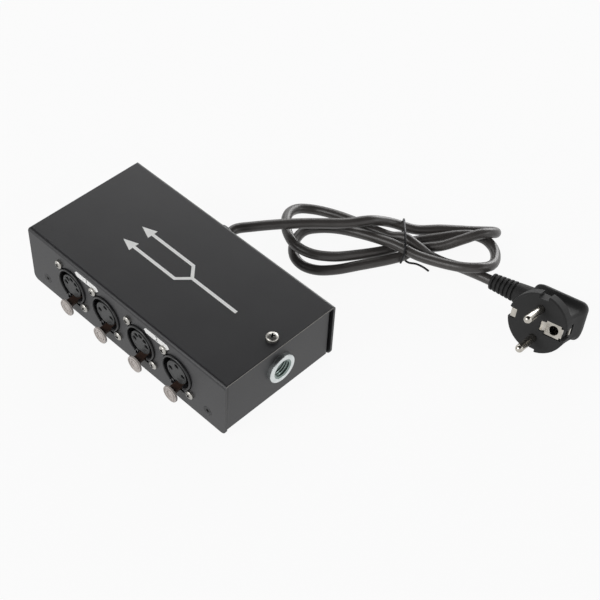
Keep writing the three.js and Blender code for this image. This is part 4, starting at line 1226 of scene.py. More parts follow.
@dataclass
class MainsCord:
    """The mains lead: out of the gland, four loops of a tied hank, and into the plug's boot."""

    radius: float = 3.1
    lift: float = 0.2
    length: float = 793.0
    gland_tip: tuple[float, float, float] = (-13.5, 50.95, 20.5)
    lead: tuple[tuple[float, float, float], ...] = (
        (-13.5, 57, 20.5), (-8.4, 65.4, 20.4), (0.8, 80, 19.2), (9.6, 92, 18.2),
        (17.6, 101.7, 17.4), (25.8, 111.8, 16.6), (34.2, 123.6, 16.9),
    )
    waist_half: float = 8.0
    reach: float = 70.0
    roundness: float = 0.85
    entry: tuple[float, float] = (19.2, 10.8)
    loops: tuple[Loop, ...] = (
        Loop(1, 0.8, 0.034, -0.05, 0.079, 0.286, 0.057, (0.87, 0.53, 1.53, 2.8, 0.78), -0.037, 0.8),
        Loop(-1, 0.943, -0.194, 0.247, 0.024, -0.083, 0.011, (0.7, 0.53, 0.53, 0.53, 1.88), -0.057, 1.95),
        Loop(1, 0.786, -0.207, 0.109, 0.0, -0.118, 0.162, (1.84, 2.6, 1.2, 1.16, 0.7), 0.106, 0.8),
        Loop(-1, 1.02, -0.325, 0.271, 0.157, 0.04, 0.123, (0.7, 1.76, 1.52, 0.53, 1.56), 0.069, 2.1),
    )
    tail: tuple[tuple[float, float, float], ...] = ((8, -0.2, 11.2), (15, -2.8, 7), (24, -4.6, 3.6), (33, -7.6, 3.5))
    boot_straight: float = 8.0
    meet: float = 0.3
    # Places on each loop, points from each place to the next, and fineness of the section
    loop_steps: int = 12
    steps: int = 7
    sides: int = 6
    hank: Hank = field(default_factory=Hank)
    plug: MainsPlug = field(default_factory=MainsPlug)

    def _lying(self, along: float, across: float, height: float) -> Vector:
        """Return a place in the hank, no lower than the floor allows.

        Args:
            along: from its waist towards the plug.
            across: away from the box.
            height: above the floor.

        Returns:
            The place in the splitter's own axes.
        """
        return self.hank.place(along, across, max(height, self.radius + self.lift))

    def _loop_place(self, loop: Loop, share: float) -> Vector:
        """Return a place on a loop.

        Args:
            loop: the loop.
            share: how far round it, from 0 to 1.

        Returns:
            The place in the splitter's own axes.
        """
        turn = share * math.pi
        swell = loop.out if share < 0.5 else -loop.back
        span = loop.reach * self.reach - self.waist_half
        along = self.waist_half + span * abs(math.sin(turn)) ** self.roundness
        drift = loop.start + (loop.finish - loop.start) * (1 - math.cos(turn)) / 2
        across = self.reach * (drift + loop.sway * math.sin(turn) + swell * math.sin(2 * turn))
        return self._lying(loop.end * along, across, 2 * self.radius * smooth_value(loop.heights, share))

    def route(self) -> list[Vector]:
        """List the places the cord goes through.

        Returns:
            The places in order, from the gland to the boot.
        """
        places = [Vector(self.gland_tip), *(Vector(p) for p in self.lead), self._lying(-self.waist_half, *self.entry)]
        for loop in self.loops:
            places += [self._loop_place(loop, k / self.loop_steps) for k in range(self.loop_steps + 1)]
            places.append(self._lying(0, loop.waist * self.reach, 2 * loop.waist_height * self.radius))
        places += [self._lying(*p) for p in self.tail]
        for away in (self.boot_straight, self.boot_straight / 2, self.meet):
            end = Vector((-self.plug.boot_reach - away, 0, -self.plug.axis_depth))
            places.append(self.plug.frame @ end)
        return places

    def build(self) -> bpy.types.Object:
        """Lay the cord as one round curve.

        Returns:
            The curve object.
        """
        cord = round_curve("mains_cord", smooth_curve(self.route(), self.steps), self.radius, self.sides)
        return finished(cord, CORD_RUBBER, "housing", ["cord_lead", "cord_hank"])


def round_curve(name: str, points: Sequence[Vector], radius: float, sides: int) -> bpy.types.Object:
    """Make a round curve through points.

    Args:
        name: of the curve.
        points: its points in millimetres.
        radius: of its section.
        sides: the fineness of its section.

    Returns:
        The curve object, in metres.
    """
    curve = bpy.data.curves.new(name, "CURVE")
    curve.dimensions = "3D"
    curve.bevel_depth = radius * MM
    curve.bevel_resolution = sides
    curve.use_fill_caps = True
    spline = curve.splines.new("POLY")
    spline.points.add(len(points) - 1)
    for point, place in zip(spline.points, points):
        point.co = (*(place * MM), 1.0)
    spline.use_smooth = True
    made = bpy.data.objects.new(name, curve)
    bpy.context.scene.collection.objects.link(made)
    return made


@dataclass
class WireTie:
    """The plastic-covered wire that holds the hank, once round its waist, its tail on the floor."""

    radius: float = 0.65
    steps: int = 6
    sides: int = 4
    hank: Hank = field(default_factory=Hank)
    route: tuple[tuple[float, float, float], ...] = (
        (15.5, -10.1, 0.9), (12.2, -7.1, 0.9), (8, -4.8, 0.9), (3.4, -4, 0.9), (0.6, -0.6, 0.9), (0, 7.4, 0.95),
        (0, 14, 2.1), (0, 21, 3.2), (0, 24.4, 7.2), (0, 22, 11.6), (0, 13, 14.7), (0, 6, 17.4), (0, 0.4, 17.5),
        (0, -5.6, 16.5), (-0.2, -8.9, 12.4), (-0.8, -8.6, 8), (-1.6, -8.2, 4.4),
    )

    def build(self) -> bpy.types.Object:
        """Wind the tie.

        Returns:
            The tie as a mesh.
        """
        points = smooth_curve([self.hank.place(*p) for p in self.route], self.steps)
        tie = round_curve("wire_tie", points, self.radius, self.sides)
        pick(tie)
        bpy.ops.object.convert(target="MESH")
        tie = bpy.context.active_object
        bpy.ops.object.mode_set(mode="EDIT")
        bpy.ops.mesh.select_all(action="SELECT")
        bpy.ops.mesh.remove_doubles(threshold=1e-6)
        bpy.ops.mesh.normals_make_consistent(inside=False)
        bpy.ops.object.mode_set(mode="OBJECT")
        return finished(tie, BLACK_OXIDE, "housing", ["cord_tie"])


# The box


@dataclass
class Housing:
    """The sheet steel box: a cover bent over top and long walls, and a tray with the end walls."""

    length: float = 161.0
    depth: float = 82.5
    height: float = 40.0
    sheet: float = 1.5
    bend: float = 2.2
    corner: float = 3.5
    end_recess: float = 1.3
    end_round: float = 0.8
    # The part of that rounding that gets the painted highlight, by how steeply its faces look up
    rubbed: tuple[float, float] = (0.15, 0.62)
    screw_x: float = 67.0
    screw_z: float = 9.0
    sink_mouth: float = 3.05
    sink_hole: float = 1.55
    sink_depth: float = 1.4
    socket_height: float = 20.8
    outlet_xs: tuple[float, ...] = (-43.5, -14.5, 14.5, 43.5)
    inlet_xs: tuple[float, ...] = (14.5, 43.5)
    opening_radius: float = 11.55
    notch_width: float = 10.6
    notch_reach: float = 13.4
    socket_screw: float = 10.05
    screw_hole: float = 1.65
    gland_x: float = -13.5
    gland_height: float = 20.5
    gland_hole: float = 6.3
    top_screw_x: float = 73.1
    top_screw_hole: float = 2.15

    @property
    def end_face(self) -> float:
        """How far the end walls stand from the middle."""
        return self.length / 2 - self.end_recess

    def _channel(self) -> list[tuple[float, float]]:
        """Draw the section of the bent cover, open towards +y.

        Returns:
            Its corners in order.
        """
        x, b, t = self.depth / 2, self.bend, self.sheet
        return [
            (-x, self.height), *arc(b - x, b, b, 180, 270, 8), *arc(x - b, b, b, 270, 360, 8), (x, self.height),
            (x - t, self.height), *arc(x - b, b, b - t, 360, 270, 6), *arc(b - x, b, b - t, 270, 180, 6),
            (t - x, self.height),
        ]

    def _opening(self, name: str, latched: bool) -> Piece:
        """Make the tool that opens a long wall for one socket, its y running into the box.

        Args:
            name: of the tool.
            latched: whether the opening has the latch's notch.

        Returns:
            The tool.
        """
        tool = Piece.rod(name, self.opening_radius, -2, 3.5, 56, INWARD)
        if latched:
            half = self.notch_width / 2
            tool.weld(Piece.block("notch", (-half, -2, -self.notch_reach), (half, 3.5, 0)))
        for side in (-1, 1):
            place = Matrix.Translation((side * self.socket_screw, 0, -side * self.socket_screw))
            tool.weld(Piece.rod("hole", self.screw_hole, -2, 3.5, 20, place @ INWARD))
        return tool

    def build(self) -> None:
        """Bend, trim and pierce the cover, and dress the tray."""
        x = self.length / 2
        cover = Piece.drawn("cover", self._channel(), self.length, axes(BACK, -UP, Vector((x, 0, self.height))))
        c, e = self.corner, self.end_round
        wall, over = self.depth / 2, self.height + 4
        trim = [*arc(c - x, c, c, 180, 270, 6), *arc(x - c, c, c, 270, 360, 6)]
        trim += [*arc(x - e, self.height - e + 0.02, e, 0, 90, 8), (x - 2 * e, over), (2 * e - x, over)]
        trim += arc(e - x, self.height - e + 0.02, e, 90, 180, 8)
        frame = Matrix.Translation((0, wall + 2, 0)) @ STOOD_UP
        cover.kept_within(Piece.drawn("trim", trim, self.depth + 4, frame))
        outlet, inlet = self._opening("outlet_tool", True), self._opening("inlet_tool", False)
        for place in self.outlet_xs:
            cover.cut(outlet.copied("tool", Matrix.Translation((place, -wall, self.socket_height))))
        for place in self.inlet_xs:
            turned = Matrix.Translation((place, wall, self.socket_height)) @ Matrix.Rotation(math.pi, 4, "Z")
            cover.cut(inlet.copied("tool", turned))
        outlet.scrap()
        inlet.scrap()
        wide, narrow = self.sink_mouth, self.sink_hole
        sink = [(0, -2), (wide, -2), (wide, 0), (narrow, self.sink_depth), (narrow, 5.5), (0, 5.5)]
        for side in (-1, 1):
            for end in (-1, 1):
                frame = Matrix.Translation((end * self.screw_x, side * wall, self.screw_z))
                cover.cut(Piece.turned("sink", sink, 32, frame @ Matrix.Rotation(math.radians(90 * side), 4, "X")))
        frame = Matrix.Translation((self.gland_x, wall, self.gland_height)) @ INWARD
        cover.cut(Piece.rod("hole", self.gland_hole, -3.5, 2, 40, frame))
        frame = Matrix.Translation((self.top_screw_x, 0, 0))
        cover.cut(Piece.rod("hole", self.top_screw_hole, 36, 42, 24, frame))
        cover.bevelled(0.22, 2, 40).stained(POWDER_COAT)
        # A pale finish on the upward-sloping faces of the end roundings: a painted highlight line along the end's top.
        rim, (low, high) = self.height - self.end_round, self.rubbed
        cover.rubbed(EDGE_HIGHLIGHT_PAINT, lambda face: face.center.z > rim and low < face.normal.z < high)
        cover.settle(POWDER_COAT, "housing", ["top_cover"])
        Piece.refined("tray", "base_chassis").bevelled(0.2, 2, 50).settle(POWDER_COAT, "housing", ["base_chassis"])
        LOG.info("cover and tray are bent and pierced")


@dataclass
class Prints:
    """The white prints: a fork of two arrows on top, and numbered bars over the outlets."""

    ink: float = 0.05
    bar_xs: tuple[float, ...] = (-29.8, 27.8)
    bar_z: float = 34.4
    bar_length: float = 20.0
    bar_height: float = 3.9
    bar_point: float = 1.6
    number_height: float = 3.2
    # Height of a digit in Blender's own font, as a share of the text's size
    digit_share: float = 0.72
    fork_middle: tuple[float, float] = (3, -1)
    fork: tuple[tuple[float, float], ...] = (
        (44, 1), (9.6, 1), (3, 8), (-31, 8), (-31, 10.6), (-40, 7), (-31, 3.4), (-31, 6), (2.2, 6), (7.8, 0),
        (2.2, -6), (-31, -6), (-31, -3.4), (-40, -7), (-31, -10.6), (-31, -8), (3, -8), (9.6, -1), (44, -1),
    )

    def build(self, box: Housing) -> None:
        """Print the top and the front.

        Args:
            box: the housing they are on.
        """
        frame = Matrix.Translation((*self.fork_middle, box.height))
        Piece.drawn("fork_print", self.fork, self.ink, frame).settle(WHITE_INK, "housing")
        half, tall, point = self.bar_length / 2, self.bar_height / 2, self.bar_point
        bar = [(half, 0), (half - point, tall), (point - half, tall)]
        bar += [(-x, -z) for x, z in bar]
        for number, x in enumerate(self.bar_xs, start=1):
            frame = Matrix.Translation((x, -box.depth / 2, self.bar_z)) @ STOOD_UP
            Piece.drawn(f"outlet_bar_{number}", bar, self.ink, frame).settle(WHITE_INK, "housing")
            self._number(str(number), frame @ Matrix.Translation((0, 0, self.ink)))
        LOG.info("prints are on")

    def _number(self, digits: str, frame: Matrix) -> None:
        """Print a plain number.

        Args:
            digits: what it says.
            frame: its middle, x along the line and y up.
        """
        rest()
        bpy.ops.object.text_add()
        text = bpy.context.active_object
        text.data.body = digits
        text.data.align_x = "CENTER"
        text.data.align_y = "CENTER"
        text.data.size = self.number_height / self.digit_share
        text.data.extrude = self.ink / 2
        bpy.ops.object.convert(target="MESH")
        made = bpy.context.active_object
        made.name = made.data.name = f"bar_number_{digits}"
        Piece(made).merged().stand(frame).settle(BLACK_INK, "housing")


# Screws


@dataclass
class Screws:
    """Pan-head screws for the sockets and the bush, countersunk ones for the cover."""

    head: float = 2.65
    head_height: float = 1.9
    shank: float = 1.5
    length: float = 4.5
    recess: float = 3.3
    top_head: float = 3.6
    top_head_height: float = 2.5
    top_shank: float = 2.0
    top_length: float = 7.7
    top_recess: float = 4.0
    top_turn: float = math.radians(35)
    sink_head: float = 2.9
    sink_depth: float = 1.4
    sink_shank: float = 1.4
    sink_length: float = 5.4
    sink_recess: float = 3.1
    recess_width: float = 0.95
    recess_depth: float = 1.5

    def _recess(self, top: float, reach: float) -> list[Piece]:
        """Make the crossed blocks that cut a cross recess, tapering as a screwdriver's tip does.

        Args:
            top: height of the head's crown, the screw's z pointing out.
            reach: of the cross, from tip to tip.

        Returns:
            Two blocks.
        """
        half, wide = reach / 2, self.recess_width / 2
        outline = [(half, top + 1), (-half, top + 1), (0.45 - half, top - 0.4 * self.recess_depth)]
        outline += [(-0.35, top - self.recess_depth), (0.35, top - self.recess_depth)]
        outline += [(half - 0.45, top - 0.4 * self.recess_depth)]
        blades = []
        for turn in (0, 90):
            frame = Matrix.Rotation(math.radians(turn), 4, "Z") @ Matrix.Translation((0, wide, 0)) @ STOOD_UP
            # The blades give the faces they cut a near black finish: painted shade deep in the cross.
            blades.append(Piece.drawn("blade", outline, 2 * wide, frame).stained(RECESS_SHADE))
        return blades

    def _pan(self, name: str, length: float, sizes: tuple[float, float, float, float]) -> Piece:
        """Turn a pan-head screw, its head's seat at z = 0 and its head along +z.

        Args:
            name: of the screw.
            length: of its shank.
            sizes: radius and height of the head, radius of the shank and reach of the recess.

        Returns:
            The screw.
        """
        r, h, shank, reach = sizes
        crown = [(r * math.sin(a), h * (0.42 + 0.58 * math.cos(a))) for a in (math.radians(9 * k) for k in range(11))]
        profile = [*crown, (r, 0), (shank, 0), (shank, 0.3 - length), (shank - 0.3, -length), (0, -length)]
        return Piece.turned(name, profile, 32).stained(SCREW_NICKEL).cut(*self._recess(h, reach))

    def pan(self, name: str) -> Piece:
        """Turn one of the sockets' pan-head screws.

        Args:
            name: of the screw.

        Returns:
            The screw, its head's seat at z = 0.
        """
        return self._pan(name, self.length, (self.head, self.head_height, self.shank, self.recess))

    def countersunk(self, name: str) -> Piece:
        """Turn one of the cover's countersunk screws.

        Args:
            name: of the screw.

        Returns:
            The screw, its face at z = 0 and its shank along -z.
        """
        r, s = self.sink_head, self.sink_shank
        profile = [(0, 0), (r - 0.15, 0), (r, -0.12), (s, -self.sink_depth), (s, 0.4 - self.sink_length)]
        profile += [(s - 0.4, -self.sink_length), (0, -self.sink_length)]
        return Piece.turned(name, profile, 32).stained(BLACK_OXIDE).cut(*self._recess(0, self.sink_recess))

    def build(self, box: Housing) -> None:
        """Drive the cover's screws and the bush's screw.

        Args:
            box: the housing they go into.
        """
        model = self.countersunk("countersunk_screw")
        for side, y, turn in (("front", -box.depth / 2, 90), ("back", box.depth / 2, -90)):
            for end, x in (("left", -box.screw_x), ("right", box.screw_x)):
                frame = Matrix.Translation((x, y, box.screw_z)) @ Matrix.Rotation(math.radians(turn), 4, "X")
                frame = frame @ Matrix.Rotation(math.radians(20 + x), 4, "Z")
                name = f"cover_screw_{side}_{end}"
                model.copied(f"{name}_dressed", frame).settle(BLACK_OXIDE, "housing", [name])
        model.scrap()
        sizes = self.top_head, self.top_head_height, self.top_shank, self.top_recess
        top = self._pan("bush_screw_dressed", self.top_length, sizes)
        frame = Matrix.Translation((box.top_screw_x, 0, box.height))
        top.stand(frame @ Matrix.Rotation(self.top_turn, 4, "Z"))
        top.settle(SCREW_NICKEL, "housing", ["bush_screw"])
        LOG.info("cover screws and bush screw are in")


# Outlets and inlets


@dataclass
class Socket:
    """Sizes of a socket, from its axis in the plane of the wall's face, y running into the box."""

    sleeve: float = 11.25
    stand: float = 1.3
    depth: float = 20.0
    bore: float = 9.9
    bore_depth: float = 18.0
    flange_half: float = 13.2
    flange_thick: float = 3.0
    flange_corner: float = 3.0
    wall: float = 1.5
    screw: float = 10.05
    screw_hole: float = 1.65
    insert: float = 7.5
    insert_stand: float = 0.6
    foot: float = 9.5
    foot_thick: float = 2.0
    circle: float = 4.75
    hole: float = 1.4
    hole_depth: float = 11.0
    key_width: float = 2.4
    key_cut: float = 1.1
    key_length: float = 8.0

    def contact_places(self, count: int) -> list[tuple[float, float]]:
        """Return where the contacts are, evenly on the upper half of their circle.

        Args:
            count: how many.

        Returns:
            (x, z) from the axis.
        """
        angles = [math.pi * i / (count - 1) for i in range(count)]
        return [(self.circle * math.cos(a), self.circle * math.sin(a)) for a in angles]

    def shell(self, name: str) -> Piece:
        """Turn the sleeve and weld the flange to it, without a latch's slots.

        Args:
            name: of the shell.

        Returns:
            The shell.
        """
        r, b, s = self.sleeve, self.bore, self.stand
        profile = [(0, self.depth), (r, self.depth), (r, 0.9 - s), (r - 0.12, 0.45 - s), (r - 0.32, 0.16 - s)]
        profile += [(r - 0.55, 0.03 - s), (r - 0.68, -s), (b + 0.5, 0.02 - s), (b + 0.25, 0.15 - s)]
        profile += [(b + 0.07, 0.4 - s), (b, 0.8 - s), (b, self.bore_depth), (0, self.bore_depth)]
        shell = Piece.turned(name, profile, 64, INWARD)
        back = self.wall + self.flange_thick
        outline = rounded_rectangle(2 * self.flange_half, 2 * self.flange_half, self.flange_corner)
        plate = Piece.drawn("plate", outline, self.flange_thick, Matrix.Translation((0, back, 0)) @ STOOD_UP)
        plate.cut(Piece.rod("bore", b + 0.4, -1, 7, 64, INWARD))
        for side in (-1, 1):
            place = Matrix.Translation((side * self.screw, 0, -side * self.screw))
            plate.cut(Piece.rod("hole", self.screw_hole, -1, 7, 20, place @ INWARD))
        return shell.weld(plate)

    def insert_with_holes(self, name: str, count: int) -> Piece:
        """Turn the female insert and drill its contact holes and key.

        Args:
            name: of the insert.
            count: of its contacts.

        Returns:
            The insert.
        """
        r, s = self.insert, self.insert_stand
        end, back = self.bore_depth, self.bore_depth - self.foot_thick
        profile = [(0, 0.12 - s), (r - 1.5, 0.12 - s), (r - 1.35, -s), (r - 0.5, -s), (r - 0.12, 0.12 - s)]
        profile += [(r, 0.5 - s), (r, back), (self.foot, back), (self.foot, end), (0, end)]
        insert = Piece.turned(name, profile, 56, INWARD)
        h, deep = self.hole, self.hole_depth
        hole = [(0, -2), (h + 0.4, -2), (h + 0.4, -s), (h, 0.4 - s), (h, deep), (0, deep)]
        for x, z in self.contact_places(count):
            insert.cut(Piece.turned("hole", hole, 24, Matrix.Translation((x, 0, z)) @ INWARD))
        half = self.key_width / 2
        return insert.cut(Piece.block("key", (-half, -2, -r - 2), (half, self.key_length - s, self.key_cut - r)))


@dataclass
class Latch:
    """The sprung lever under an outlet: a finger with its tooth, a web to the trunnions, an arm and a pad."""

    width: float = 5.3
    slot_width: float = 6.4
    slot_depth: float = 15.0
    slot_top: float = 8.7
    ring_notch: float = 10.0
    lug_half: float = 6.2
    lug_reach: float = 18.6
    pivot_depth: float = 3.6
    pivot_drop: float = 16.5
    trunnion: float = 0.8
    trunnion_length: float = 8.6
    clearance: float = 0.3
    pad: float = 5.2
    pad_thick: float = 1.4
    pad_stand: float = 4.7
    pad_drop: float = 14.0

    def slots(self, shell: Piece, socket: Socket) -> Piece:
        """Weld the lugs to a shell and cut the slots that the lever works in.

        Args:
            shell: a socket's shell.
            socket: its sizes.

        Returns:
            The shell.
        """
        back = socket.wall + socket.flange_thick
        lug = Piece.block("lug", (-self.lug_half, socket.wall, -self.lug_reach), (self.lug_half, back, -11.6))
        shell.weld(lug)
        half = self.slot_width / 2
        slot = Piece.block("slot", (-half, -4, -22), (half, self.slot_depth, -self.slot_top))
        notch = Piece.block("notch", (-self.ring_notch / 2, -4, -14), (self.ring_notch / 2, 0, -self.slot_top))
        reach, radius = self.trunnion_length / 2 + self.clearance, self.trunnion + self.clearance
        pocket = Piece.block(
            "pocket", (-reach, self.pivot_depth, -self.pivot_drop - radius), (reach, 7, radius - self.pivot_drop)
        )
        frame = Matrix.Translation((0, self.pivot_depth, -self.pivot_drop)) @ TO_THE_RIGHT
        return shell.cut(slot, notch, pocket, Piece.rod("pocket_end", radius, -reach, reach, 24, frame))

    def lever(self, name: str, socket: Socket) -> Piece:
        """Draw the lever from the side, pull it to its width and weld its trunnions on.

        Args:
            name: of the lever.
            socket: the socket that it works in.

        Returns:
            The lever, without its pad.
        """
        top = socket.bore + 0.15
        arm, front = socket.bore + 1.1, self.pad_stand + 0.25
        under = arm + 1.4
        steps = [k / 6 for k in range(1, 7)]
        ends = (self.pad_stand, self.pad_drop + 1), (self.pad_stand - 0.8, under), (1.6, under)
        hollow = [
            tuple(a * (1 - t) ** 2 + 2 * b * t * (1 - t) + c * t * t for a, b, c in zip(*ends)) for t in steps
        ]
        outline = [
            (-11, top), (-10.4, top), (-9.6, top - 1.2), (-8.6, top - 1.2), (-7.2, top + 0.3), (-1.5, arm), (2.4, arm),
            (front, arm + 0.5), (front, self.pad_drop + 1), (self.pad_stand, self.pad_drop + 1), *hollow,
            (-1.8, under), (-2.4, under + 0.6), *arc(-self.pivot_depth, self.pivot_drop, 1.2, 0, 180, 8),
            (-4.8, under + 0.6), (-7.2, top + 1.3), (-11, top + 1.3),
        ]
        frame = axes(-BACK, -UP, Vector((-self.width / 2, 0, 0)))
        lever = Piece.drawn(name, outline, self.width, frame).bevelled(0.18, 2, 40)
        turn = Matrix.Translation((0, self.pivot_depth, -self.pivot_drop)) @ TO_THE_RIGHT
        half, r = self.trunnion_length / 2, self.trunnion
        profile = [(0, -half), (r - 0.15, -half), (r, 0.15 - half), (r, half - 0.15), (r - 0.15, half), (0, half)]
        return lever.weld(Piece.turned("trunnions", profile, 24, turn))

    def pad_disc(self, name: str) -> Piece:
        """Turn the pad, with a proud rim and an embossed ring.

        Args:
            name: of the pad.

        Returns:
            The pad.
        """
        r, h = self.pad, self.pad_thick
        profile = [(0, 0), (r - 0.2, 0), (r, 0.2), (r, h - 0.3), (r - 0.1, h - 0.08), (r - 0.32, h), (r - 0.7, h)]
        profile += [(r - 1.0, h - 0.55), (3.3, h - 0.6), (3.1, h - 0.12), (2.5, h - 0.12), (2.3, h - 0.6)]
        profile.append((0, h - 0.62))
        frame = Matrix.Translation((0, -self.pad_stand, -self.pad_drop)) @ STOOD_UP
        return Piece.turned(name, profile, 48, frame)


@dataclass
class Outlets:
    """The four female outlets in the front wall."""

    socket: Socket = field(default_factory=Socket)
    latch: Latch = field(default_factory=Latch)
    screws: Screws = field(default_factory=Screws)

    def build(self, box: Housing) -> None:
        """Model each kind of piece once, and copy it to the four places.

        Args:
            box: the housing they go into.
        """
        shell = self.latch.slots(self.socket.shell("shell_model"), self.socket).bevelled(0.12, 2, 45)
        inserts = {n: self.socket.insert_with_holes(f"insert_model_{n}", n) for n in (5, 3)}
        lever, pad = self.latch.lever("lever_model", self.socket), self.latch.pad_disc("pad_model")
        screw = self.screws.pan("screw_model")
        for i, x in enumerate(box.outlet_xs):
            number, at = i + 1, Matrix.Translation((x, -box.depth / 2, box.socket_height))
            body = f"latch_{number}_lever"
            shell.copied(f"outlet_housing_{number}", at).settle(SOCKET_NYLON, "housing", [f"outlet_shell_{number}"])
            face = inserts[3 if i % 2 else 5].copied(f"contact_carrier_{number}", at)
            face.settle(INSERT_NYLON, "housing", [f"outlet_insert_{number}"])
            lever.copied(f"latch_lever_{number}", at).settle(LATCH_ACETAL, body, [f"latch_{number}"])
            pad.copied(f"latch_pad_{number}", at).settle(PAD_ACETAL, body)
            for k, side in (("a", -1), ("b", 1)):
                spin = Matrix.Rotation(math.radians(23 + 61 * i + 37 * side), 4, "Z")
                place = at @ Matrix.Translation((side * self.socket.screw, 0, -side * self.socket.screw)) @ STOOD_UP
                node = f"outlet_screw_{number}{k}"
                screw.copied(f"{node}_dressed", place @ spin).settle(SCREW_NICKEL, "housing", [node])
            LOG.info("outlet %d is in, with its latch", number)
        for model in (shell, *inserts.values(), lever, pad, screw):
            model.scrap()


@dataclass
class Inlets:
    """The two male inlets in the back wall, which the photograph doesn't show."""

    foot_depth: float = 4.0
    pin: float = 1.2
    pin_length: float = 11.5
    pin_nose: float = 0.9
    socket: Socket = field(default_factory=Socket)
    screws: Screws = field(default_factory=Screws)

    def build(self, box: Housing) -> None:
        """Model each kind of piece once, and copy it to the two places.

        Args:
            box: the housing they go into.
        """
        shell = self.socket.shell("shell_model").bevelled(0.12, 2, 45)
        screw = self.screws.pan("screw_model")
        front = self.socket.bore_depth - self.foot_depth
        carrier = Piece.rod("carrier_model", self.socket.foot, front, self.socket.bore_depth, 48, INWARD).bevelled(0.2)
        p, length, nose = self.pin, self.pin_length, self.pin_nose
        angles = [math.radians(15 * k) for k in range(1, 7)]
        tip = [(0, -length), *((p * math.sin(a), nose - length - nose * math.cos(a)) for a in angles)]
        pin = Piece.turned("pin_model", [*tip, (p, 0.1), (0, 0.1)], 24, INWARD)
        for i, x in enumerate(box.inlet_xs):
            number = i + 1
            at = Matrix.Translation((x, box.depth / 2, box.socket_height)) @ Matrix.Rotation(math.pi, 4, "Z")
            shell.copied(f"inlet_housing_{number}", at).settle(SOCKET_NYLON, "housing", [f"inlet_shell_{number}"])
            carrier.copied(f"pin_carrier_{number}", at).settle(INSERT_NYLON, "housing", [f"inlet_insert_{number}"])
            for k, (px, pz) in enumerate(self.socket.contact_places(3 if i % 2 else 5), start=1):
                place = at @ Matrix.Translation((px, front, pz))
                pin.copied(f"inlet_{number}_pin_{k}", place).settle(NICKEL, "housing")
            for k, side in (("a", 1), ("b", -1)):
                place = at @ Matrix.Translation((-side * self.socket.screw, 0, side * self.socket.screw)) @ STOOD_UP
                node = f"inlet_screw_{number}{k}"
                screw.copied(f"{node}_dressed", place).settle(SCREW_NICKEL, "housing", [node])
            LOG.info("inlet %d is in", number)
        for model in (shell, screw, carrier, pin):
            model.scrap()


@dataclass
class HangingBush:
    """The threaded bush in the right end wall."""

    height: float = 22.0
    flange: float = 9.2
    flange_thick: float = 2.7
    body: float = 7.0
    body_length: float = 13.5
    bore: float = 5.2
    mouth: float = 6.35
    mouth_depth: float = 0.6
    lead_in: float = 0.2
    pitch: float = 1.5
    thread_depth: float = 0.75

    def build(self, box: Housing) -> None:
        """Turn the bush, and cut its thread.

        Args:
            box: the housing it goes into.
        """
        f, t, m, end = self.flange, self.flange_thick, self.mouth, -self.body_length
        profile = [(m, t - 0.1), (m + 0.1, t), (f - 0.65, t), (f - 0.3, t - 0.12), (f - 0.08, t - 0.4)]
        profile += [(f, t - 0.8), (f, 0), (self.body, 0), (self.body, end), (m, end)]
        frame = Matrix.Translation((box.end_face, 0, self.height)) @ TO_THE_RIGHT
        Piece.turned("hanging_bush", profile, 64, frame).settle(ZINC, "housing", ["suspension_bush"])
        profile = [(m + 0.01, t - self.lead_in), (m + 0.01, end), (self.bore, end)]
        low, root = end + 0.3, self.bore + self.thread_depth
        for k in range(int((t - self.mouth_depth - low) / self.pitch)):
            z = low + k * self.pitch
            profile += [(self.bore, z), (root, z + 0.45 * self.pitch), (root, z + 0.6 * self.pitch)]
            profile.append((self.bore, z + 0.95 * self.pitch))
        profile.append((self.bore, t - self.mouth_depth))
        Piece.turned("bush_thread", profile, 64, frame).settle(THREAD, "housing")
        LOG.info("hanging bush is in")


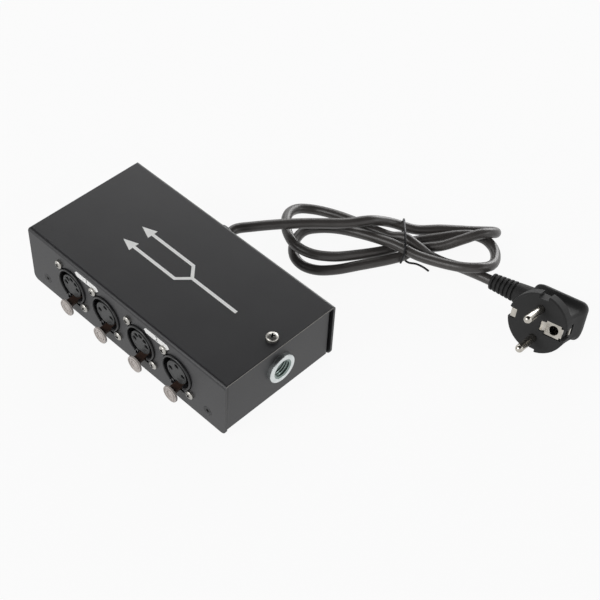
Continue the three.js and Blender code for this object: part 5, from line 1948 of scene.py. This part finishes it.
@dataclass
class Gland:
    """The cord gland in the back wall."""

    across: float = 15.0
    hex_thick: float = 3.0
    shank: float = 6.0
    shank_length: float = 8.0
    neck: float = 5.0
    neck_length: float = 4.0
    cap: float = 7.2
    cap_length: float = 6.4
    bore: float = 3.5
    ribs: int = 14
    groove: float = 0.55

    def build(self, box: Housing) -> None:
        """Mould the body and the ribbed cap.

        Args:
            box: the housing it goes into.
        """
        at = Matrix.Translation((box.gland_x, box.depth / 2, box.gland_height)) @ INWARD
        reach = self.across / math.sqrt(3)
        hexagon = [(reach * math.cos(a), reach * math.sin(a)) for a in (math.pi * k / 3 for k in range(6))]
        body = Piece.drawn("gland_fitting", hexagon, self.hex_thick).bevelled(0.35)
        body.weld(Piece.rod("shank", self.shank, -self.shank_length, 0.5, 48))
        body.weld(Piece.rod("neck", self.neck, self.hex_thick - 0.5, self.hex_thick + self.neck_length, 48))
        body.cut(Piece.rod("bore", self.bore, -12, 12, 40))
        body.stand(at).settle(SOCKET_NYLON, "housing", ["gland_body"])
        c, n = self.cap, self.neck + 0.3
        profile = [(self.bore, self.cap_length), (c - 1.8, self.cap_length)]
        profile += arc(c - 1.8, self.cap_length - 1.8, 1.8, 75, 0, 6)
        profile += [(c, 0.2), (c - 0.2, 0), (n, 0), (n, self.neck_length + 0.3), (self.bore, self.neck_length + 0.3)]
        cap = Piece.turned("gland_dome", profile, 56)
        groove = Piece.rod("groove", self.groove, 0.9, 8, 12, Matrix.Translation((c + 0.15, 0, 0)))
        cap.cut(groove.ringed(self.ribs))
        cap.stand(at @ Matrix.Translation((0, 0, self.hex_thick))).settle(SOCKET_NYLON, "housing", ["gland_cap"])
        LOG.info("gland is in")


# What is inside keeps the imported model's shape.
CARRIED = {
    "bush_block": STEEL,
    "gland_nut": SOCKET_NYLON,
    "circuit_board": BOARD,
    "power_module": MODULE,
    "capacitor": SLEEVE,
    "fuse_holder": MODULE,
    "terminal_block": TERMINAL,
    "signal_isolator": MODULE,
}


def dress_carried(nodes: dict[str, bpy.types.Object]) -> None:
    """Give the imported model's own pieces their finishes.

    Args:
        nodes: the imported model's objects by name.
    """
    for name, finish in CARRIED.items():
        made = nodes[name]
        made.data.materials.clear()
        made.data.materials.append(finish.material())
        LOG.info("%s keeps its solid, in %s", name, finish.name)


def main() -> None:
    """Build the splitter over its frame."""
    logging.basicConfig(level=logging.INFO, format="%(name)s: %(message)s")
    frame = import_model()
    Studio().build()
    lead = MainsCord()
    cord = lead.build()
    tie = WireTie().build()
    plug = lead.plug.build()
    LOG.info("%s and %s are laid", cord.name, tie.name)
    box = Housing()
    box.build()
    for part in (Prints(), Screws(), Outlets(), Inlets(), HangingBush(), Gland()):
        part.build(box)
    dress_carried(frame["nodes"])


if __name__ == "__main__":
    main()
